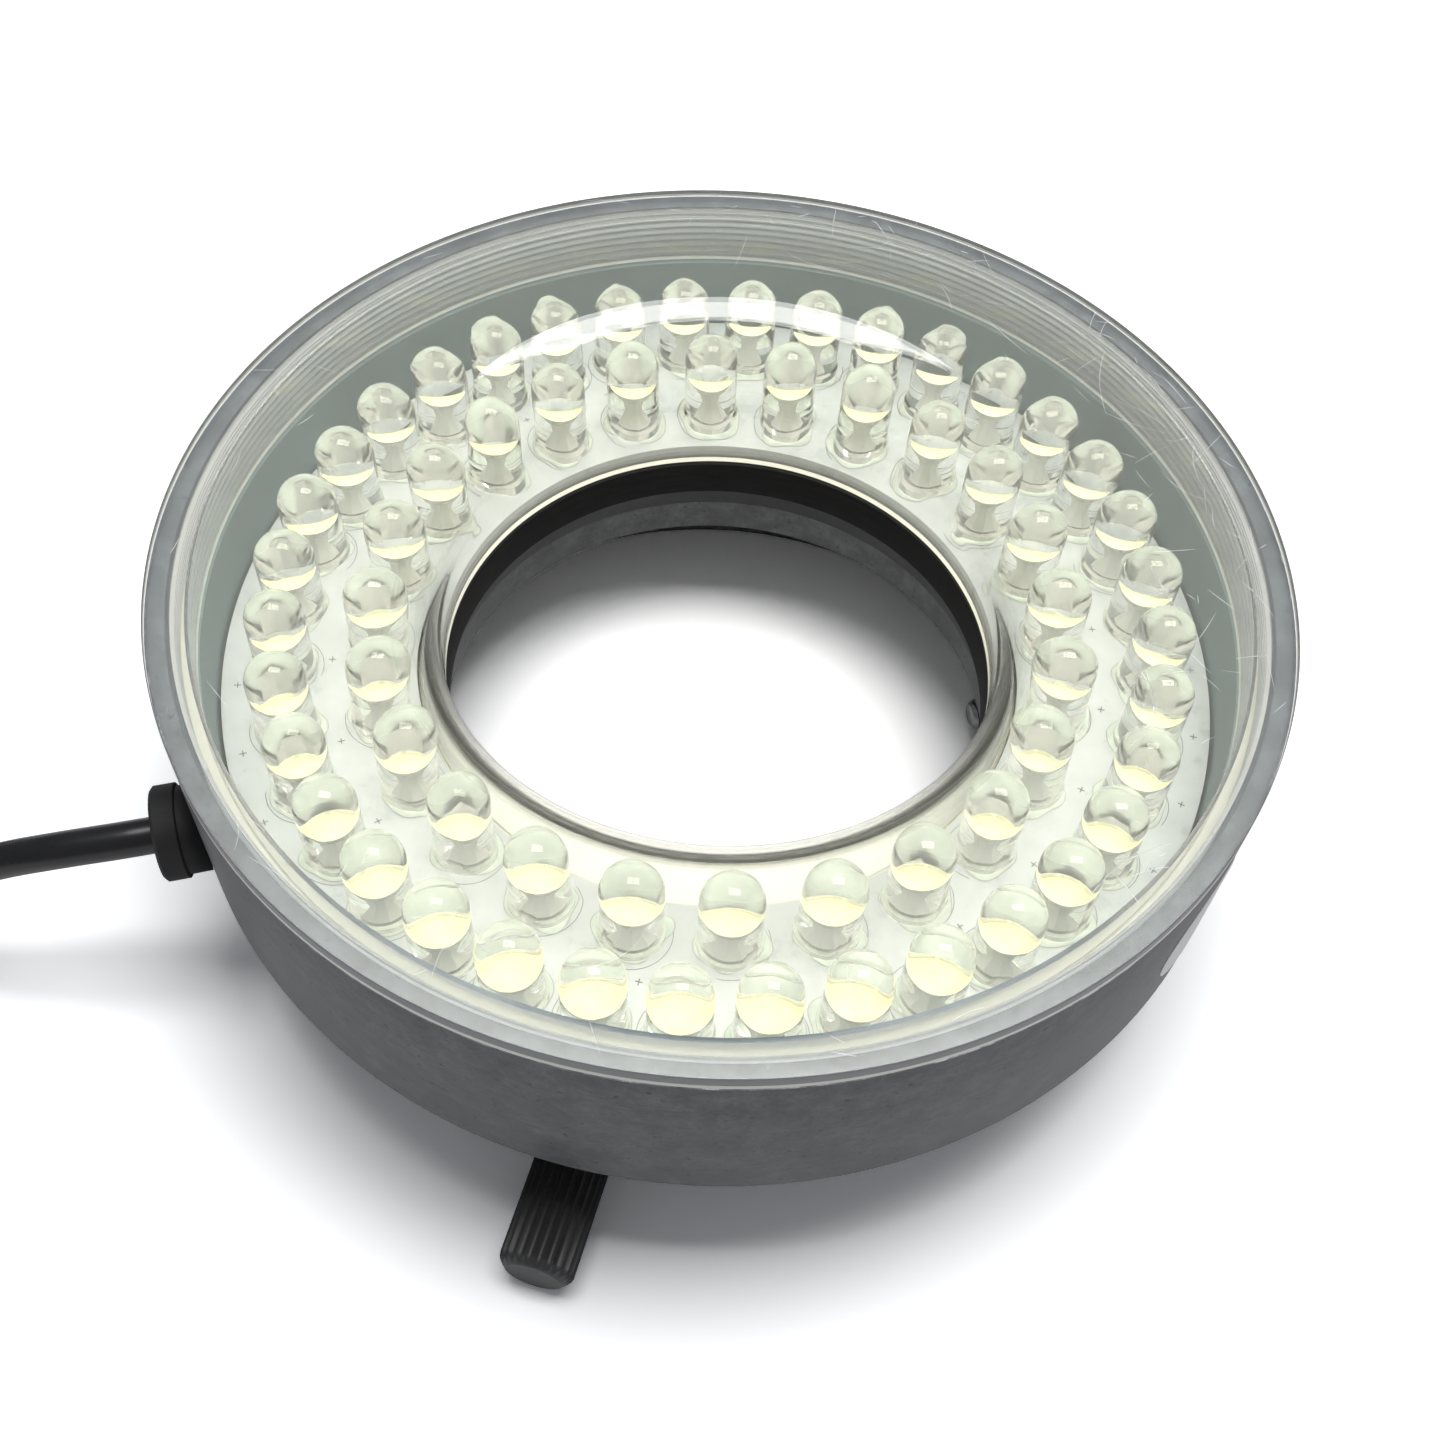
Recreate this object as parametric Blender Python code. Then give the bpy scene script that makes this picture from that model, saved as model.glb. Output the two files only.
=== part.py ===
"""Microscope ring light with sixty LEDs, lying LED side up on its mounting collar.

Metres, +Z up. The ring's axis is Z and the collar's lower face is z = 0.
"""

import math

import bmesh
import bpy
from mathutils import Matrix, Vector

# Fits and facets
FIT_GAP = 0.0003
CUT_OVERRUN = 0.0010
RING_SEGMENTS = 56
SMALL_SEGMENTS = 16
STUD_SEGMENTS = 12
LED_SEGMENTS = 8
SMOOTH_ANGLE = math.radians(35)
MERGE_DISTANCE = 1e-7

# Mounting collar and cup, one turned piece
LIP_RADIUS = 0.0245
LIP_WIDTH = 0.0077
LIP_DEPTH = 0.0050
COLLAR_WALL = 0.0043
COLLAR_HEIGHT = 0.0144
FLOOR_THICKNESS = 0.0025
WIRING_SPACE = 0.00205
BOARD_LEDGE_WIDTH = 0.0013
WALL_THICKNESS = 0.0031
RIM_THICKNESS = 0.0016
EDGE_CHAMFER = 0.0004

# Black sleeve in the bore
SLEEVE_WALL = 0.0010
SLEEVE_REACH = 0.0035
SLEEVE_CONE_HEIGHT = 0.00245
SLEEVE_END_LAND = 0.0002
SLEEVE_FLANGE_WIDTH = 0.0024
SLEEVE_LIP_HEIGHT = 0.00045

# Clear cover
COVER_FLANGE_THICKNESS = 0.0014
COVER_PLATE_THICKNESS = 0.0013
COVER_CORNER_RADIUS = 0.0100
COVER_CORNER_STEPS = 6
COVER_EDGE_CHAMFER = 0.0002
SPIGOT_WALL = 0.0011
SPIGOT_LENGTH = 0.0050

# Circuit board and its LEDs
BOARD_THICKNESS = 0.0016
INNER_LED_MARGIN = 0.0008
LED_ROW_GAP = 0.0020
OUTER_LED_MARGIN = 0.0024
INNER_LED_LEAST_GAP = 0.0015
OUTER_LED_LEAST_GAP = 0.0005
INNER_LED_START = math.radians(4.44)
OUTER_LED_START = math.radians(8.28)
STRING_COUNT = 20
LED_RADIUS = 0.00245
LED_FLANGE_RADIUS = 0.0029
LED_FLANGE_HEIGHT = 0.0010
LED_HEIGHT = 0.0087
LED_DOME_STEPS = 3
LED_HEADROOM = 0.00265

# Chip resistors under the board
RESISTOR_LENGTH = 0.0032
RESISTOR_WIDTH = 0.0016
RESISTOR_HEIGHT = 0.00055

# Thumbscrews
SCREW_ANGLES = {
    "front": math.radians(-103),
    "right": math.radians(17),
    "rear": math.radians(137),
}
# How much further out each screw is turned than the two that show in the view
SCREW_SET_BACK = {"front": 0.0, "right": 0.0, "rear": 0.0060}
STUD_RADIUS = 0.0015
STUD_PROTRUSION = 0.0065
STUD_TIP_CHAMFER = 0.0004
KNOB_STANDOFF = 0.0039
KNOB_RADIUS = 0.00307
KNOB_LENGTH = 0.0097
KNOB_CLEARANCE = 0.0003
KNOB_FLUTE_DEPTH = 0.00028
KNOB_FLUTES = 24
KNOB_END_BEVEL = 0.0008
KNOB_INNER_BEVEL = 0.0003
KNOB_SOCKET_DEPTH = 0.0060

# Strain relief bush
GLAND_ANGLE = math.radians(-154.7)
GLAND_HEADING = math.radians(-163.5)
GLAND_RISE = 0.0012
GLAND_HEAD_RADIUS = 0.0039
GLAND_HEAD_REACH = 0.0032
GLAND_HEAD_LENGTH = 0.0020
GLAND_SHOULDER_STEP = 0.0003
GLAND_EDGE_CHAMFER = 0.0004
GLAND_NECK_RADIUS = 0.0022

# Lead wires from the bush to the board
WIRE_RADIUS = 0.00055
WIRE_START_OFFSET = 0.00075
WIRE_END_OFFSET = 0.0033
WIRE_RUN = 0.0072
WIRE_POINTS = 7

# Power cord: its free stretch, from the bush to the coil
CORD_RADIUS = 0.0015
CORD_SPACING = 0.0065
CORD_ROUTE = [
    (-0.0469, -0.0210, 0.01805),
    (-0.0519, -0.0219, 0.01740),
    (-0.0567, -0.0222, 0.01575),
    (-0.0630, -0.0225, 0.01270),
    (-0.0700, -0.0230, 0.00870),
    (-0.0770, -0.0236, 0.00520),
    (-0.0840, -0.0241, 0.00300),
    (-0.0910, -0.0244, 0.00232),
]

# The rest of the cord, coiled in two layers
COIL_CENTRE = (-0.1020, 0.0016)
COIL_OUTER_RADIUS = 0.0260
COIL_TURNS = 9.25
COIL_PITCH = 0.0035
COIL_CLIMB_TURNS = 0.5
COIL_POINTS_PER_TURN = 24
COIL_START_ANGLE = math.radians(-90)
COIL_PLUG_LEAD = 0.0090
COIL_LEAST_GAP = 0.0004

# Tie round the coil
TIE_ANGLE = math.radians(45)
TIE_WIDTH = 0.0040
TIE_THICKNESS = 0.0005
TIE_SIDE_GAP = 0.0005
TIE_FLOOR_GAP = 0.00002
TIE_CORNER_RADIUS = 0.0016
TIE_CORNER_STEPS = 3

# Plug
PLUG_NECK_RADIUS = 0.0026
PLUG_RELIEF_RADIUS = 0.0040
PLUG_RELIEF_LENGTH = 0.0100
PLUG_SHOULDER_LENGTH = 0.0012
PLUG_RADIUS = 0.0055
PLUG_GRIP_LENGTH = 0.0190
PLUG_NOSE_BEVEL = 0.0008
BARREL_RADIUS = 0.00275
BARREL_WALL = 0.0005
BARREL_LENGTH = 0.0095
BARREL_BEVEL = 0.0002
INSULATOR_BORE_RADIUS = 0.00105

# Radii that follow, from the bore outwards
MOUNT_BORE_RADIUS = LIP_RADIUS + LIP_WIDTH
COLLAR_OUTER_RADIUS = MOUNT_BORE_RADIUS + COLLAR_WALL
SLEEVE_OUTER_RADIUS = LIP_RADIUS - FIT_GAP
SLEEVE_BORE_RADIUS = SLEEVE_OUTER_RADIUS - SLEEVE_WALL
COVER_WALL_RADIUS = SLEEVE_BORE_RADIUS + COVER_PLATE_THICKNESS
BOARD_INNER_RADIUS = COVER_WALL_RADIUS + FIT_GAP
INNER_LED_CIRCLE = BOARD_INNER_RADIUS + INNER_LED_MARGIN + LED_FLANGE_RADIUS
OUTER_LED_CIRCLE = INNER_LED_CIRCLE + 2 * LED_FLANGE_RADIUS + LED_ROW_GAP
BOARD_OUTER_RADIUS = OUTER_LED_CIRCLE + LED_FLANGE_RADIUS + OUTER_LED_MARGIN
WALL_INNER_RADIUS = BOARD_OUTER_RADIUS + FIT_GAP
OUTER_RADIUS = WALL_INNER_RADIUS + WALL_THICKNESS
LEDGE_RADIUS = WALL_INNER_RADIUS - BOARD_LEDGE_WIDTH
RECESS_RADIUS = OUTER_RADIUS - RIM_THICKNESS
SPIGOT_RADIUS = RECESS_RADIUS - FIT_GAP

# Heights that follow, from the collar upwards
SCREW_HEIGHT = KNOB_RADIUS + KNOB_CLEARANCE
LIP_BOTTOM = COLLAR_HEIGHT - LIP_DEPTH
FLOOR_TOP = COLLAR_HEIGHT + FLOOR_THICKNESS
GLAND_HEIGHT = FLOOR_TOP + GLAND_RISE
LEDGE_TOP = FLOOR_TOP + WIRING_SPACE
SLEEVE_BOTTOM = FLOOR_TOP - SLEEVE_REACH
SLEEVE_LIP_TOP = LEDGE_TOP + SLEEVE_LIP_HEIGHT
BOARD_BOTTOM = LEDGE_TOP + FIT_GAP
BOARD_TOP = BOARD_BOTTOM + BOARD_THICKNESS
RIM_TOP = BOARD_TOP + LED_HEIGHT + LED_HEADROOM
COVER_BOTTOM = RIM_TOP + FIT_GAP
COVER_TOP = COVER_BOTTOM + COVER_FLANGE_THICKNESS
COVER_FOOT = SLEEVE_LIP_TOP + FIT_GAP
SPIGOT_BOTTOM = COVER_BOTTOM - SPIGOT_LENGTH
COIL_LOW = TIE_FLOOR_GAP + TIE_THICKNESS + FIT_GAP + CORD_RADIUS
COIL_HIGH = COIL_LOW + COIL_PITCH

# Places that follow
HOLE_RADIUS = STUD_RADIUS + FIT_GAP
STUD_TIP_AT = MOUNT_BORE_RADIUS - STUD_PROTRUSION
KNOB_INNER_END_AT = COLLAR_OUTER_RADIUS + KNOB_STANDOFF
GLAND_NECK_LENGTH = WALL_THICKNESS - FIT_GAP
INSULATOR_RADIUS = BARREL_RADIUS - BARREL_WALL - FIT_GAP


def clear_scene():
    for item in list(bpy.data.objects):
        bpy.data.objects.remove(item, do_unlink=True)


def material(name, colour, roughness, metallic=0.0, alpha=1.0):
    made = bpy.data.materials.new(name)
    made.use_nodes = True
    shader = made.node_tree.nodes["Principled BSDF"]
    shader.inputs["Base Color"].default_value = (*colour, 1.0)
    shader.inputs["Roughness"].default_value = roughness
    shader.inputs["Metallic"].default_value = metallic
    shader.inputs["Alpha"].default_value = alpha
    return made


def grey_anodised_aluminium():
    return material("grey_anodised_aluminium", (0.085, 0.090, 0.096), 0.45, 0.85)


def matt_black_sleeve():
    return material("matt_black", (0.012, 0.012, 0.013), 0.85)


def clear_acrylic():
    return material("clear_acrylic", (0.90, 0.92, 0.86), 0.08, 0.0, 0.35)


def white_board():
    return material("white_solder_mask", (0.80, 0.84, 0.80), 0.35)


def clear_epoxy():
    return material("clear_epoxy", (0.86, 0.86, 0.72), 0.10, 0.0, 0.55)


def black_nylon():
    return material("black_nylon", (0.018, 0.018, 0.018), 0.42)


def black_rubber():
    return material("black_rubber", (0.014, 0.014, 0.014), 0.60)


def black_vinyl():
    return material("black_vinyl", (0.016, 0.016, 0.017), 0.32)


def steel():
    return material("steel", (0.42, 0.42, 0.43), 0.35, 1.0)


def nickel_plate():
    return material("nickel_plate", (0.70, 0.69, 0.66), 0.22, 1.0)


def black_ceramic():
    return material("black_ceramic", (0.03, 0.03, 0.03), 0.50)


def red_insulation():
    return material("red_insulation", (0.55, 0.03, 0.02), 0.45)


def black_insulation():
    return material("black_insulation", (0.02, 0.02, 0.02), 0.45)


def white_nylon():
    return material("white_nylon", (0.70, 0.70, 0.67), 0.50)


def add_object(name, data, finish):
    made = bpy.data.objects.new(name, data)
    bpy.context.scene.collection.objects.link(made)
    if finish is not None:
        data.materials.append(finish)
    return made


def weld(shape):
    bmesh.ops.remove_doubles(shape, verts=shape.verts, dist=MERGE_DISTANCE)


def mesh_object(name, shape, finish):
    """Turn a bmesh into an object, faces out and round faces shaded smooth."""
    weld(shape)
    bmesh.ops.recalc_face_normals(shape, faces=shape.faces)
    data = bpy.data.meshes.new(name)
    shape.to_mesh(data)
    shape.free()
    data.shade_smooth()
    data.set_sharp_from_angle(angle=SMOOTH_ANGLE)
    return add_object(name, data, finish)


def turn_profile(shape, profile, segments, closed, centre=(0, 0, 0), heading=0):
    """Turn an outline of (radius, height) points about an upright axis."""
    out = Vector((math.cos(heading), math.sin(heading), 0))
    up = Vector((0, 0, 1))
    points = [shape.verts.new(Vector(centre) + out * radius + up * height) for radius, height in profile]
    pairs = list(zip(points, points[1:]))
    if closed:
        pairs.append((points[-1], points[0]))
    edges = [shape.edges.new(pair) for pair in pairs]
    bmesh.ops.spin(
        shape,
        geom=points + edges,
        cent=centre,
        axis=up,
        angle=math.tau,
        steps=segments,
        use_merge=True,
    )


def turned_ring(name, profile, segments, finish):
    """A turned piece with a bore."""
    shape = bmesh.new()
    turn_profile(shape, profile, segments, closed=True)
    return mesh_object(name, shape, finish)


def turned_rod(name, profile, segments, finish):
    """A turned piece whose outline starts and ends on the axis."""
    shape = bmesh.new()
    turn_profile(shape, profile, segments, closed=False)
    return mesh_object(name, shape, finish)


def ring_of_points(shape, radii, height):
    """One vertex for each radius, evenly round Z."""
    count = len(radii)
    points = []
    for index, radius in enumerate(radii):
        angle = math.tau * index / count
        points.append(shape.verts.new((radius * math.cos(angle), radius * math.sin(angle), height)))
    return points


def bridge_rings(shape, lower, upper):
    count = len(lower)
    for index in range(count):
        following = (index + 1) % count
        shape.faces.new((lower[index], lower[following], upper[following], upper[index]))


def arc(centre, radius, start, end, steps):
    """Points along an arc, both ends included."""
    points = []
    for index in range(steps + 1):
        angle = start + (end - start) * index / steps
        points.append((centre[0] + radius * math.cos(angle), centre[1] + radius * math.sin(angle)))
    return points


def place_along(item, position, heading):
    """Stand an upright piece on a point and lay it level, its top along a heading."""
    turn = Matrix.Rotation(heading, 4, "Z") @ Matrix.Rotation(math.pi / 2, 4, "Y")
    item.matrix_world = Matrix.Translation(Vector(position)) @ turn


def radial_point(angle, radius, height):
    return Vector((radius * math.cos(angle), radius * math.sin(angle), height))


def hide_guide(item):
    item.hide_render = True
    item.display_type = "WIRE"


def guide_rod(name, radius, length, position, heading):
    """A rod that only shapes its neighbours, running from a point along a heading."""
    rod = turned_rod(name, [(0, 0), (radius, 0), (radius, length), (0, length)], SMALL_SEGMENTS, None)
    place_along(rod, position, heading)
    hide_guide(rod)
    return rod


def combine(item, guide, operation):
    step = item.modifiers.new(guide.name, "BOOLEAN")
    step.operation = operation
    step.solver = "EXACT"
    step.object = guide


def gland_point(along, height=GLAND_HEIGHT):
    """A point on the bush's axis, measured outward from the housing's wall."""
    root = radial_point(GLAND_ANGLE, OUTER_RADIUS, height)
    return root + along * Vector((math.cos(GLAND_HEADING), math.sin(GLAND_HEADING), 0))


def housing():
    """The cup with its mounting collar, drilled for the screws and the bush."""
    recess_floor = SPIGOT_BOTTOM - FIT_GAP
    profile = [
        (OUTER_RADIUS, RIM_TOP),
        (OUTER_RADIUS, COLLAR_HEIGHT + EDGE_CHAMFER),
        (OUTER_RADIUS - EDGE_CHAMFER, COLLAR_HEIGHT),
        (COLLAR_OUTER_RADIUS, COLLAR_HEIGHT),
        (COLLAR_OUTER_RADIUS, EDGE_CHAMFER),
        (COLLAR_OUTER_RADIUS - EDGE_CHAMFER, 0),
        (MOUNT_BORE_RADIUS + EDGE_CHAMFER, 0),
        (MOUNT_BORE_RADIUS, EDGE_CHAMFER),
        (MOUNT_BORE_RADIUS, LIP_BOTTOM),
        (LIP_RADIUS, LIP_BOTTOM),
        (LIP_RADIUS, FLOOR_TOP),
        (LEDGE_RADIUS, FLOOR_TOP),
        (LEDGE_RADIUS, LEDGE_TOP),
        (WALL_INNER_RADIUS, LEDGE_TOP),
        (WALL_INNER_RADIUS, recess_floor),
        (RECESS_RADIUS, recess_floor),
        (RECESS_RADIUS, RIM_TOP),
    ]
    body = turned_ring("housing", profile, RING_SEGMENTS, grey_anodised_aluminium())
    start_radius = MOUNT_BORE_RADIUS - CUT_OVERRUN
    drilled = COLLAR_WALL + 2 * CUT_OVERRUN
    for side, angle in SCREW_ANGLES.items():
        start = radial_point(angle, start_radius, SCREW_HEIGHT)
        hole = guide_rod("screw_hole_" + side, HOLE_RADIUS, drilled, start, angle)
        combine(body, hole, "DIFFERENCE")
    way_in = WALL_THICKNESS + BOARD_LEDGE_WIDTH + CUT_OVERRUN
    hole = guide_rod(
        "gland_hole",
        GLAND_NECK_RADIUS + FIT_GAP,
        way_in + CUT_OVERRUN,
        gland_point(-way_in),
        GLAND_HEADING,
    )
    combine(body, hole, "DIFFERENCE")


def bore_sleeve():
    """The black sleeve that lines the bore and carries the board's inner edge."""
    flange_radius = SLEEVE_OUTER_RADIUS + SLEEVE_FLANGE_WIDTH
    flange_bottom = FLOOR_TOP + FIT_GAP
    profile = [
        (COVER_WALL_RADIUS, SLEEVE_LIP_TOP),
        (COVER_WALL_RADIUS, LEDGE_TOP),
        (flange_radius, LEDGE_TOP),
        (flange_radius, flange_bottom),
        (SLEEVE_OUTER_RADIUS, flange_bottom),
        (SLEEVE_OUTER_RADIUS, SLEEVE_BOTTOM),
        (SLEEVE_OUTER_RADIUS - SLEEVE_END_LAND, SLEEVE_BOTTOM),
        (SLEEVE_BORE_RADIUS, SLEEVE_BOTTOM + SLEEVE_CONE_HEIGHT),
        (SLEEVE_BORE_RADIUS, SLEEVE_LIP_TOP),
    ]
    turned_ring("bore_sleeve", profile, RING_SEGMENTS, matt_black_sleeve())


def clear_cover():
    """A flat annulus whose inner side rolls over into a wall down to the sleeve."""
    corner = (SLEEVE_BORE_RADIUS + COVER_CORNER_RADIUS, COVER_TOP - COVER_CORNER_RADIUS)
    under_radius = COVER_CORNER_RADIUS - COVER_PLATE_THICKNESS
    spigot_inner_radius = SPIGOT_RADIUS - SPIGOT_WALL
    profile = [
        (OUTER_RADIUS, COVER_BOTTOM),
        (OUTER_RADIUS, COVER_TOP - COVER_EDGE_CHAMFER),
        (OUTER_RADIUS - COVER_EDGE_CHAMFER, COVER_TOP),
        *arc(corner, COVER_CORNER_RADIUS, math.pi / 2, math.pi, COVER_CORNER_STEPS),
        (SLEEVE_BORE_RADIUS, COVER_FOOT),
        (COVER_WALL_RADIUS, COVER_FOOT),
        *arc(corner, under_radius, math.pi, math.pi / 2, COVER_CORNER_STEPS),
        (spigot_inner_radius, COVER_TOP - COVER_PLATE_THICKNESS),
        (spigot_inner_radius, SPIGOT_BOTTOM),
        (SPIGOT_RADIUS, SPIGOT_BOTTOM),
        (SPIGOT_RADIUS, COVER_BOTTOM),
    ]
    turned_ring("clear_cover", profile, RING_SEGMENTS, clear_acrylic())


def led_rings():
    """Circle radius, number of LEDs and first angle of each ring of LEDs."""
    inner_pitch = 2 * LED_FLANGE_RADIUS + INNER_LED_LEAST_GAP
    outer_pitch = 2 * LED_FLANGE_RADIUS + OUTER_LED_LEAST_GAP
    inner_count = int(math.tau * INNER_LED_CIRCLE / inner_pitch)
    outer_count = int(math.tau * OUTER_LED_CIRCLE / outer_pitch)
    return [
        (INNER_LED_CIRCLE, inner_count, INNER_LED_START),
        (OUTER_LED_CIRCLE, outer_count, OUTER_LED_START),
    ]


def led_outline():
    """Half the outline of one LED, from the board up to the tip of its dome."""
    dome_centre = (0, LED_HEIGHT - LED_RADIUS)
    return [
        (LED_FLANGE_RADIUS, 0),
        (LED_FLANGE_RADIUS, LED_FLANGE_HEIGHT),
        (LED_RADIUS, LED_FLANGE_HEIGHT),
        *arc(dome_centre, LED_RADIUS, 0, math.pi / 2, LED_DOME_STEPS)[:-1],
        (0, LED_HEIGHT),
    ]


def led_board():
    """The board with its LEDs soldered on, its top face filled in round them."""
    shape = bmesh.new()
    edge = [
        (BOARD_OUTER_RADIUS, BOARD_TOP),
        (BOARD_OUTER_RADIUS, BOARD_BOTTOM),
        (BOARD_INNER_RADIUS, BOARD_BOTTOM),
        (BOARD_INNER_RADIUS, BOARD_TOP),
    ]
    turn_profile(shape, edge, RING_SEGMENTS, closed=False)
    for circle, count, start in led_rings():
        for index in range(count):
            angle = start + math.tau * index / count
            foot = radial_point(angle, circle, BOARD_TOP)
            turn_profile(shape, led_outline(), LED_SEGMENTS, closed=False, centre=foot, heading=angle)
    weld(shape)
    rims = [rim for rim in shape.edges if rim.is_boundary]
    bmesh.ops.triangle_fill(shape, edges=rims, use_beauty=True, normal=(0, 0, 1))
    board = mesh_object("led_board", shape, white_board())
    board.data.materials.append(clear_epoxy())
    for face in board.data.polygons:
        if face.center.z > BOARD_TOP + MERGE_DISTANCE:
            face.material_index = 1


def string_resistors():
    """One chip resistor under the board for each string of LEDs."""
    circle = (INNER_LED_CIRCLE + OUTER_LED_CIRCLE) / 2
    middle = BOARD_BOTTOM - FIT_GAP - RESISTOR_HEIGHT / 2
    size = Matrix.Diagonal((RESISTOR_WIDTH, RESISTOR_LENGTH, RESISTOR_HEIGHT, 1))
    finish = black_ceramic()
    for index in range(STRING_COUNT):
        angle = math.tau * index / STRING_COUNT
        chip = bmesh.new()
        bmesh.ops.create_cube(chip, size=1, matrix=size)
        resistor = mesh_object(f"string_resistor_{index + 1:02d}", chip, finish)
        resistor.location = radial_point(angle, circle, middle)
        resistor.rotation_euler.z = angle


def thumbscrew_stud(side, angle, set_back, finish):
    """The threaded stud, from its chamfered tip in the bore to the knob's socket."""
    length = KNOB_INNER_END_AT + KNOB_SOCKET_DEPTH - FIT_GAP - STUD_TIP_AT
    profile = [
        (0, 0),
        (STUD_RADIUS - STUD_TIP_CHAMFER, 0),
        (STUD_RADIUS, STUD_TIP_CHAMFER),
        (STUD_RADIUS, length),
        (0, length),
    ]
    stud = turned_rod("thumbscrew_stud_" + side, profile, STUD_SEGMENTS, finish)
    place_along(stud, radial_point(angle, STUD_TIP_AT + set_back, SCREW_HEIGHT), angle)


def thumbscrew_knob(side, angle, set_back, finish):
    """A fluted knob with a bevelled end and a socket for its stud."""
    count = 2 * KNOB_FLUTES
    valley = KNOB_RADIUS - KNOB_FLUTE_DEPTH
    fluted = [KNOB_RADIUS, valley] * KNOB_FLUTES
    socket = [HOLE_RADIUS] * count
    shape = bmesh.new()
    rings = [
        ring_of_points(shape, socket, KNOB_SOCKET_DEPTH),
        ring_of_points(shape, socket, 0),
        ring_of_points(shape, [valley - KNOB_INNER_BEVEL] * count, 0),
        ring_of_points(shape, fluted, KNOB_INNER_BEVEL),
        ring_of_points(shape, fluted, KNOB_LENGTH - KNOB_END_BEVEL),
        ring_of_points(shape, [KNOB_RADIUS - KNOB_END_BEVEL] * count, KNOB_LENGTH),
    ]
    for lower, upper in zip(rings, rings[1:]):
        bridge_rings(shape, lower, upper)
    shape.faces.new(rings[0])
    shape.faces.new(rings[-1])
    knob = mesh_object("thumbscrew_knob_" + side, shape, finish)
    place_along(knob, radial_point(angle, KNOB_INNER_END_AT + set_back, SCREW_HEIGHT), angle)


def thumbscrews():
    stud_finish = steel()
    knob_finish = black_nylon()
    for side, angle in SCREW_ANGLES.items():
        set_back = SCREW_SET_BACK[side]
        thumbscrew_stud(side, angle, set_back, stud_finish)
        thumbscrew_knob(side, angle, set_back, knob_finish)


def cable_gland():
    """The strain relief bush: a stepped head that follows the wall, and a neck through it."""
    shoulder_radius = GLAND_HEAD_RADIUS - GLAND_SHOULDER_STEP
    head_start = GLAND_HEAD_REACH - GLAND_HEAD_LENGTH
    profile = [
        (0, -CUT_OVERRUN),
        (shoulder_radius, -CUT_OVERRUN),
        (shoulder_radius, head_start),
        (GLAND_HEAD_RADIUS, head_start),
        (GLAND_HEAD_RADIUS, GLAND_HEAD_REACH - GLAND_EDGE_CHAMFER),
        (GLAND_HEAD_RADIUS - GLAND_EDGE_CHAMFER, GLAND_HEAD_REACH),
        (0, GLAND_HEAD_REACH),
    ]
    bush = turned_rod("cable_gland", profile, SMALL_SEGMENTS, black_rubber())
    place_along(bush, gland_point(0), GLAND_HEADING)
    bottom = GLAND_HEIGHT - GLAND_HEAD_RADIUS - CUT_OVERRUN
    top = GLAND_HEIGHT + GLAND_HEAD_RADIUS + CUT_OVERRUN
    fitted = OUTER_RADIUS + FIT_GAP
    wall = [(0, bottom), (fitted, bottom), (fitted, top), (0, top)]
    wall_fit = turned_rod("gland_wall_fit", wall, RING_SEGMENTS, None)
    hide_guide(wall_fit)
    combine(bush, wall_fit, "DIFFERENCE")
    neck = guide_rod(
        "gland_neck",
        GLAND_NECK_RADIUS,
        GLAND_NECK_LENGTH + head_start,
        gland_point(-GLAND_NECK_LENGTH),
        GLAND_HEADING,
    )
    combine(bush, neck, "UNION")


def tube_object(name, points, radius, resolution, finish):
    """A round tube along points, with filled ends."""
    data = bpy.data.curves.new(name, "CURVE")
    data.dimensions = "3D"
    data.bevel_depth = radius
    data.bevel_resolution = resolution
    data.use_fill_caps = True
    spline = data.splines.new("POLY")
    spline.points.add(len(points) - 1)
    for target, point in zip(spline.points, points):
        target.co = (*point, 1)
    return add_object(name, data, finish)


def curve_point(before, start, end, after, t):
    """A point on the smooth curve that passes through four points, between the middle two."""
    return (
        2 * start
        + (end - before) * t
        + (2 * before - 5 * start + 4 * end - after) * t**2
        + (3 * start - before - 3 * end + after) * t**3
    ) / 2


def smooth_route(route, spacing):
    """Points at even spacing along a smooth curve through the route's own points."""
    knots = [Vector(point) for point in route]
    knots = [2 * knots[0] - knots[1], *knots, 2 * knots[-1] - knots[-2]]
    fine_steps = 24
    line = []
    for stretch in zip(knots, knots[1:], knots[2:], knots[3:]):
        line += [curve_point(*stretch, index / fine_steps) for index in range(fine_steps)]
    line.append(knots[-2])
    lengths = [0]
    for first, second in zip(line, line[1:]):
        lengths.append(lengths[-1] + (second - first).length)
    count = max(2, round(lengths[-1] / spacing))
    points = []
    place = 0
    for index in range(count + 1):
        target = lengths[-1] * index / count
        while place < len(line) - 2 and lengths[place + 1] < target:
            place += 1
        share = (target - lengths[place]) / (lengths[place + 1] - lengths[place])
        points.append(line[place].lerp(line[place + 1], share))
    return points


def route_length(points):
    return sum((second - first).length for first, second in zip(points, points[1:]))


def lead_wires():
    """Two insulated leads that spread from the bush to the underside of the board."""
    across = Vector((-math.sin(GLAND_HEADING), math.cos(GLAND_HEADING), 0))
    start_at = GLAND_NECK_LENGTH + FIT_GAP
    end_height = BOARD_BOTTOM - FIT_GAP - WIRE_RADIUS
    leads = [("red_lead_wire", 1, red_insulation()), ("black_lead_wire", -1, black_insulation())]
    for name, side, finish in leads:
        points = []
        for index in range(WIRE_POINTS):
            share = index / (WIRE_POINTS - 1)
            eased_share = (1 - math.cos(math.pi * share)) / 2
            offset = WIRE_START_OFFSET + (WIRE_END_OFFSET - WIRE_START_OFFSET) * eased_share
            height = GLAND_HEIGHT + (end_height - GLAND_HEIGHT) * eased_share
            centre = gland_point(-start_at - WIRE_RUN * share, height)
            points.append(centre + side * offset * across)
        tube_object(name, points, WIRE_RADIUS, 1, finish)


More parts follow.
